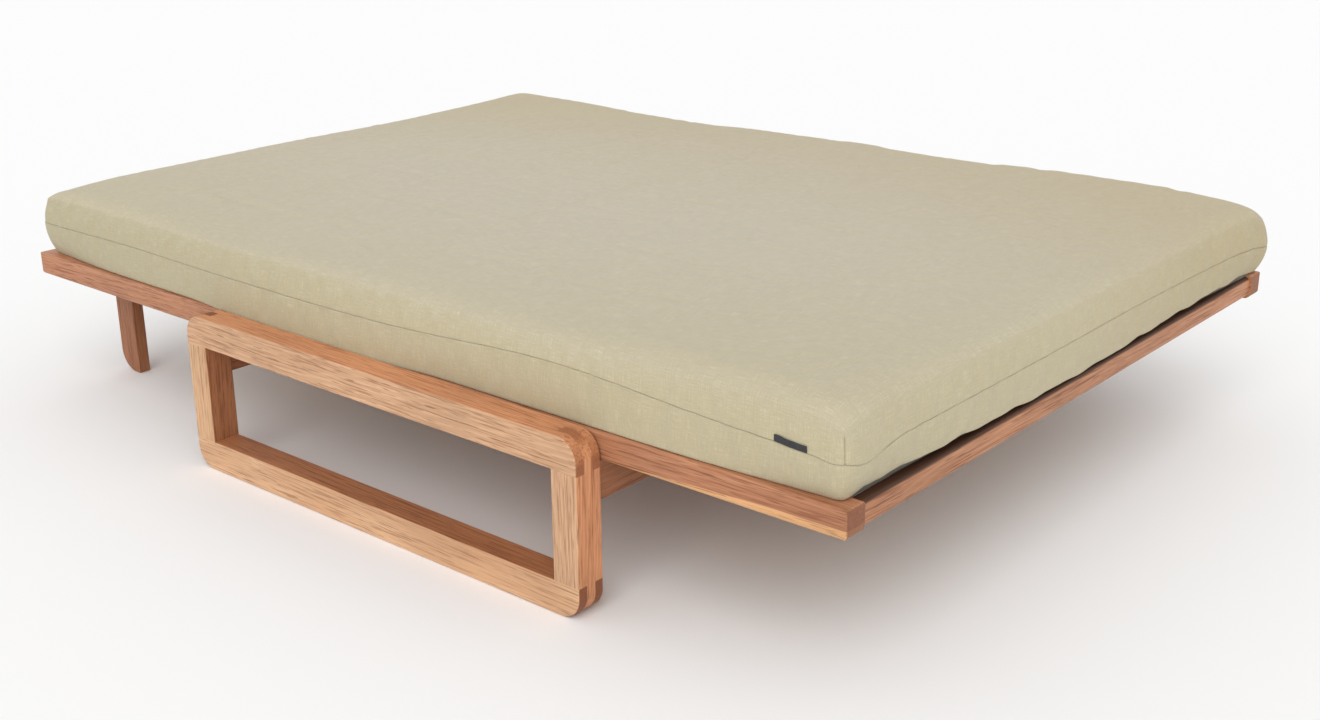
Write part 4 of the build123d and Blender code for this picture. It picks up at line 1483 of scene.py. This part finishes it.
    def settle(self, piece: bpy.types.Object) -> None:
        """Lets the cover settle as cloth a little larger than its filling, held near its shape.

        Args:
            piece: The whole mattress.
        """
        mesh, scene, how = piece.data, bpy.context.scene, self.settling
        rest, marks = numbers(mesh.vertices, "co", 3), numbers(mesh.attributes["seam"].data, "value")
        height = rest[:, 2] - self.bottom
        hold, tight = piece.vertex_groups.new(name="hold"), piece.vertex_groups.new(name="tight")
        firm = how.firmness(height, self.brow_height)
        for level in np.unique(firm):
            hold.add(np.flatnonzero(firm == level).tolist(), float(level), "REPLACE")
        tight.add(np.flatnonzero((marks > 0.5) | (height < how.base_height)).tolist(), 1.0, "REPLACE")
        how.add_cloth(piece)
        for number in range(1, how.frames + 1):
            scene.frame_set(number)
        settled = evaluated_mesh(piece)
        scene.frame_set(1)
        piece.modifiers.clear()
        piece.vertex_groups.clear()
        step = numbers(settled.vertices, "co", 3) - rest
        length = np.linalg.norm(step, axis=1, keepdims=True)
        most, mean = length.max() * 1e3, length.mean() * 1e3
        log.info("the cover settled by up to %.1f mm, %.1f mm on average", most, mean)
        step *= np.minimum(1.0, how.limit / np.maximum(length, TINY))
        mesh.vertices.foreach_set("co", (rest + step).ravel())
        mesh.update()

    def sink_seams(self, mesh: bpy.types.Mesh) -> None:
        """Draws the seams into the cover as narrow creases.

        Args:
            mesh: The whole mattress, after subdivision.
        """
        marks = numbers(mesh.attributes["seam"].data, "value")
        depth = self.crease_depth * np.clip((marks - self.crease_from) / (1 - self.crease_from), 0.0, 1.0)
        places, normals = numbers(mesh.vertices, "co", 3), numbers(mesh.vertices, "normal", 3)
        mesh.vertices.foreach_set("co", (places - normals * depth[:, None]).ravel())
        mesh.update()

    def part(self, mesh: bpy.types.Mesh, name: str, front: bool) -> bpy.types.Mesh:
        """Cuts the mattress at the parting plane and closes the cut.

        Args:
            mesh: The whole mattress.
            name: Name of the new mesh.
            front: True for the part ahead of the plane.

        Returns:
            A closed mesh with the whole mattress's normals.
        """
        work = bmesh.new()
        work.from_mesh(mesh)
        work.normal_update()
        keep = work.verts.layers.float_vector.new("whole_normal")
        for vertex in work.verts:
            vertex[keep] = vertex.normal
        cut = bmesh.ops.bisect_plane(work, geom=[*work.verts, *work.edges, *work.faces], plane_no=(0, 1, 0),
                                     plane_co=(0, self.parting, 0), clear_outer=front, clear_inner=not front)
        rim = [item for item in cut["geom_cut"] if isinstance(item, bmesh.types.BMEdge)]
        bmesh.ops.holes_fill(work, edges=rim, sides=0)
        made = bpy.data.meshes.new(name)
        work.to_mesh(made)
        work.free()
        smooth(made)
        normals = numbers(made.attributes["whole_normal"].data, "vector", 3)
        normals /= np.maximum(np.linalg.norm(normals, axis=1, keepdims=True), TINY)
        made.normals_split_custom_set_from_vertices([tuple(normal) for normal in normals])
        made.attributes.remove(made.attributes["whole_normal"])
        return made

    def build(self) -> tuple[bpy.types.Object, bpy.types.Object]:
        """Makes the mattress's two pieces.

        Returns:
            The front piece and the main piece.
        """
        whole = object_from("mattress_whole", self.cage())
        smooth(whole.data)
        self.settle(whole)
        subdivide(whole)
        self.sink_seams(whole.data)
        pieces = []
        for name, front in (("mattress_front", True), ("mattress_main", False)):
            piece = object_from(name, self.part(whole.data, name, front))
            piece.data.materials.clear()
            piece.data.materials.append(self.canvas)
            pieces.append(piece)
            log.info("%s has %d faces", name, len(piece.data.polygons))
        bpy.data.objects.remove(whole)
        return pieces[0], pieces[1]

    def fit(self, front: bpy.types.Object, main: bpy.types.Object) -> None:
        """Joins the front piece to the base body, fixes the main piece's place into its mesh, and hides the
        parts they replace.

        Args:
            front: Piece joined to the base body.
            main: Piece whose place is fixed into its mesh.
        """
        self.gather(front)
        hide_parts("mattress_cover_front", "mattress_core_front")
        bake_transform(main)
        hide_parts("mattress_cover_seat", "mattress_core_seat", "mattress_fold", "mattress_cover_back",
                    "mattress_core_back")

    def gather(self, piece: bpy.types.Object) -> None:
        """Joins a piece to the base body and gives it a mesh of its own.

        Args:
            piece: The front piece, or what is sewn to it.
        """
        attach(piece, "base")
        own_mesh(piece)


@dataclass
class Tag:
    """Bare folded tape sewn into the mattress's side seam."""

    tape: bpy.types.Material
    thickness: float = 0.0016
    lift: float = 0.0002
    shift: float = 0.004
    curl: float = 0.0016
    height: float = 0.0110
    curl_mean: float = 0.6
    curl_pitch: float = 0.7
    columns: int = 18
    rows: int = 5
    ray_start: float = 1.0

    def build(self, mattress: Mattress, cover: bpy.types.Object) -> None:
        """Lays the tape against the cover, from the seam up.

        Args:
            mattress: Mattress that it is sewn to.
            cover: The mattress's front piece.
        """
        bpy.context.view_layer.update()
        low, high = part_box("mattress_tag")
        cage, layers = Cage(), []
        for out in (self.lift + self.thickness, self.lift):
            grid = {}
            for i in range(self.columns + 1):
                y = low.y + self.shift + (high.y - low.y) * i / self.columns
                seam = mattress.bottom + mattress.seam_height(-mattress.half_width, y)
                for j in range(self.rows + 1):
                    share = j / self.rows
                    z = seam + self.height * share
                    _, spot, _, _ = cover.ray_cast((low.x - self.ray_start, y, z), (1.0, 0.0, 0.0))
                    swing = self.curl_mean + (1 - self.curl_mean) * math.sin(i * self.curl_pitch)
                    bend = self.curl * share**2 * swing
                    grid[i, j] = cage.point(spot.x - out - bend, y, z)
            layers.append(grid)
        front, back = layers
        for i in range(self.columns):
            for j in range(self.rows):
                cell = ((i + 1, j), (i, j), (i, j + 1), (i + 1, j + 1))
                cage.face([front[c] for c in cell])
                cage.face([back[c] for c in reversed(cell)])
        rim = rim_of(self.columns, self.rows)
        for a, b in zip(rim, rim[1:] + rim[:1]):
            cage.face((front[a], front[b], back[b], back[a]))
        tag = object_from("tag", cage.mesh("tag", 0.0))
        tag.data.materials.append(self.tape)
        subdivide(tag)
        smooth(tag.data)
        mattress.gather(tag)
        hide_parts("mattress_tag")
        log.info("tag has %d faces", len(tag.data.polygons))


@dataclass(frozen=True)
class Studio:
    """Floor, light, white surroundings and camera, with the angles in degrees."""

    floor_half: float = 40.0
    floor_colour: Colour = (0.96, 0.96, 0.96, 1.0)
    floor_roughness: float = 0.9
    key_direction: Point = (-0.85, -0.55, 0.90)
    key_spread: float = 50.0
    key_strength: float = 1.30
    surroundings: float = 0.74
    sensor_width: float = 36.0
    focal_length: float = 44.73
    heading: float = 49.6
    pitch: float = 19.7
    roll: float = -0.49
    viewpoint: Point = (-2.333, -2.057, 1.196)

    def floor(self) -> None:
        """Lays a pale floor that keeps the bed's shadow."""
        mesh = bpy.data.meshes.new("floor")
        half = self.floor_half
        corners = [(-half, -half, 0), (half, -half, 0), (half, half, 0), (-half, half, 0)]
        mesh.from_pydata(corners, [], [(0, 1, 2, 3)])
        floor = object_from("floor", mesh)
        material, g, shader = new_material("pale_floor")
        shader.inputs["Base Color"].default_value = self.floor_colour
        shader.inputs["Roughness"].default_value = self.floor_roughness
        mesh.materials.append(material)

    def key_light(self) -> None:
        """Adds one broad, distant light, which lights the floor evenly."""
        data = bpy.data.lights.new("key", "SUN")
        data.angle = math.radians(self.key_spread)
        data.energy = self.key_strength
        lamp = bpy.data.objects.new("key", data)
        bpy.context.scene.collection.objects.link(lamp)
        lamp.rotation_euler = (-Vector(self.key_direction)).to_track_quat("-Z", "Y").to_euler()

    def world(self) -> None:
        """Lights the scene evenly, and shows a white background."""
        world = bpy.data.worlds.new("studio")
        world.use_nodes = True
        g = Graph(world.node_tree)
        world.node_tree.nodes.clear()
        ray = g.node("ShaderNodeLightPath")
        seen = g.math("MAXIMUM", ray.outputs["Is Camera Ray"], ray.outputs["Is Glossy Ray"])
        seen = g.math("MAXIMUM", seen, ray.outputs["Is Transmission Ray"])
        background = g.node("ShaderNodeBackground")
        background.inputs["Color"].default_value = (1, 1, 1, 1)
        strength = g.math("MULTIPLY_ADD", seen, 1 - self.surroundings, self.surroundings)
        g.feed(background.inputs["Strength"], strength)
        output = g.node("ShaderNodeOutputWorld")
        g.feed(output.inputs["Surface"], background.outputs[0])
        bpy.context.scene.world = world

    def camera(self) -> None:
        """Sets the camera where the photograph was taken from."""
        data = bpy.data.cameras.new("camera")
        data.sensor_width = self.sensor_width
        data.lens = self.focal_length
        camera = bpy.data.objects.new("camera", data)
        bpy.context.scene.collection.objects.link(camera)
        heading, pitch, roll = [math.radians(angle) for angle in (self.heading, self.pitch, self.roll)]
        turn = Euler((math.pi / 2 - pitch, 0.0, -heading), "XYZ").to_matrix() @ Matrix.Rotation(roll, 3, "Z")
        camera.rotation_euler = turn.to_euler()
        camera.location = self.viewpoint
        bpy.context.scene.camera = camera

    def build(self) -> None:
        """Sets the whole stage."""
        self.floor()
        self.world()
        self.key_light()
        self.camera()
        bpy.context.scene.view_settings.view_transform = "Standard"
        log.info("the floor, the light and the camera are set")


def main() -> None:
    """Builds every piece in order."""
    Studio().build()
    effects = Effects()
    OakFrame(effects).dress()
    mattress = Mattress(Canvas().material("mattress_canvas", effects))
    front, main_piece = mattress.build()
    mattress.fit(front, main_piece)
    Tag(Tape().material("tag_tape", effects)).build(mattress, front)


if __name__ == "__main__":
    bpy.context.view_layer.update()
    main()
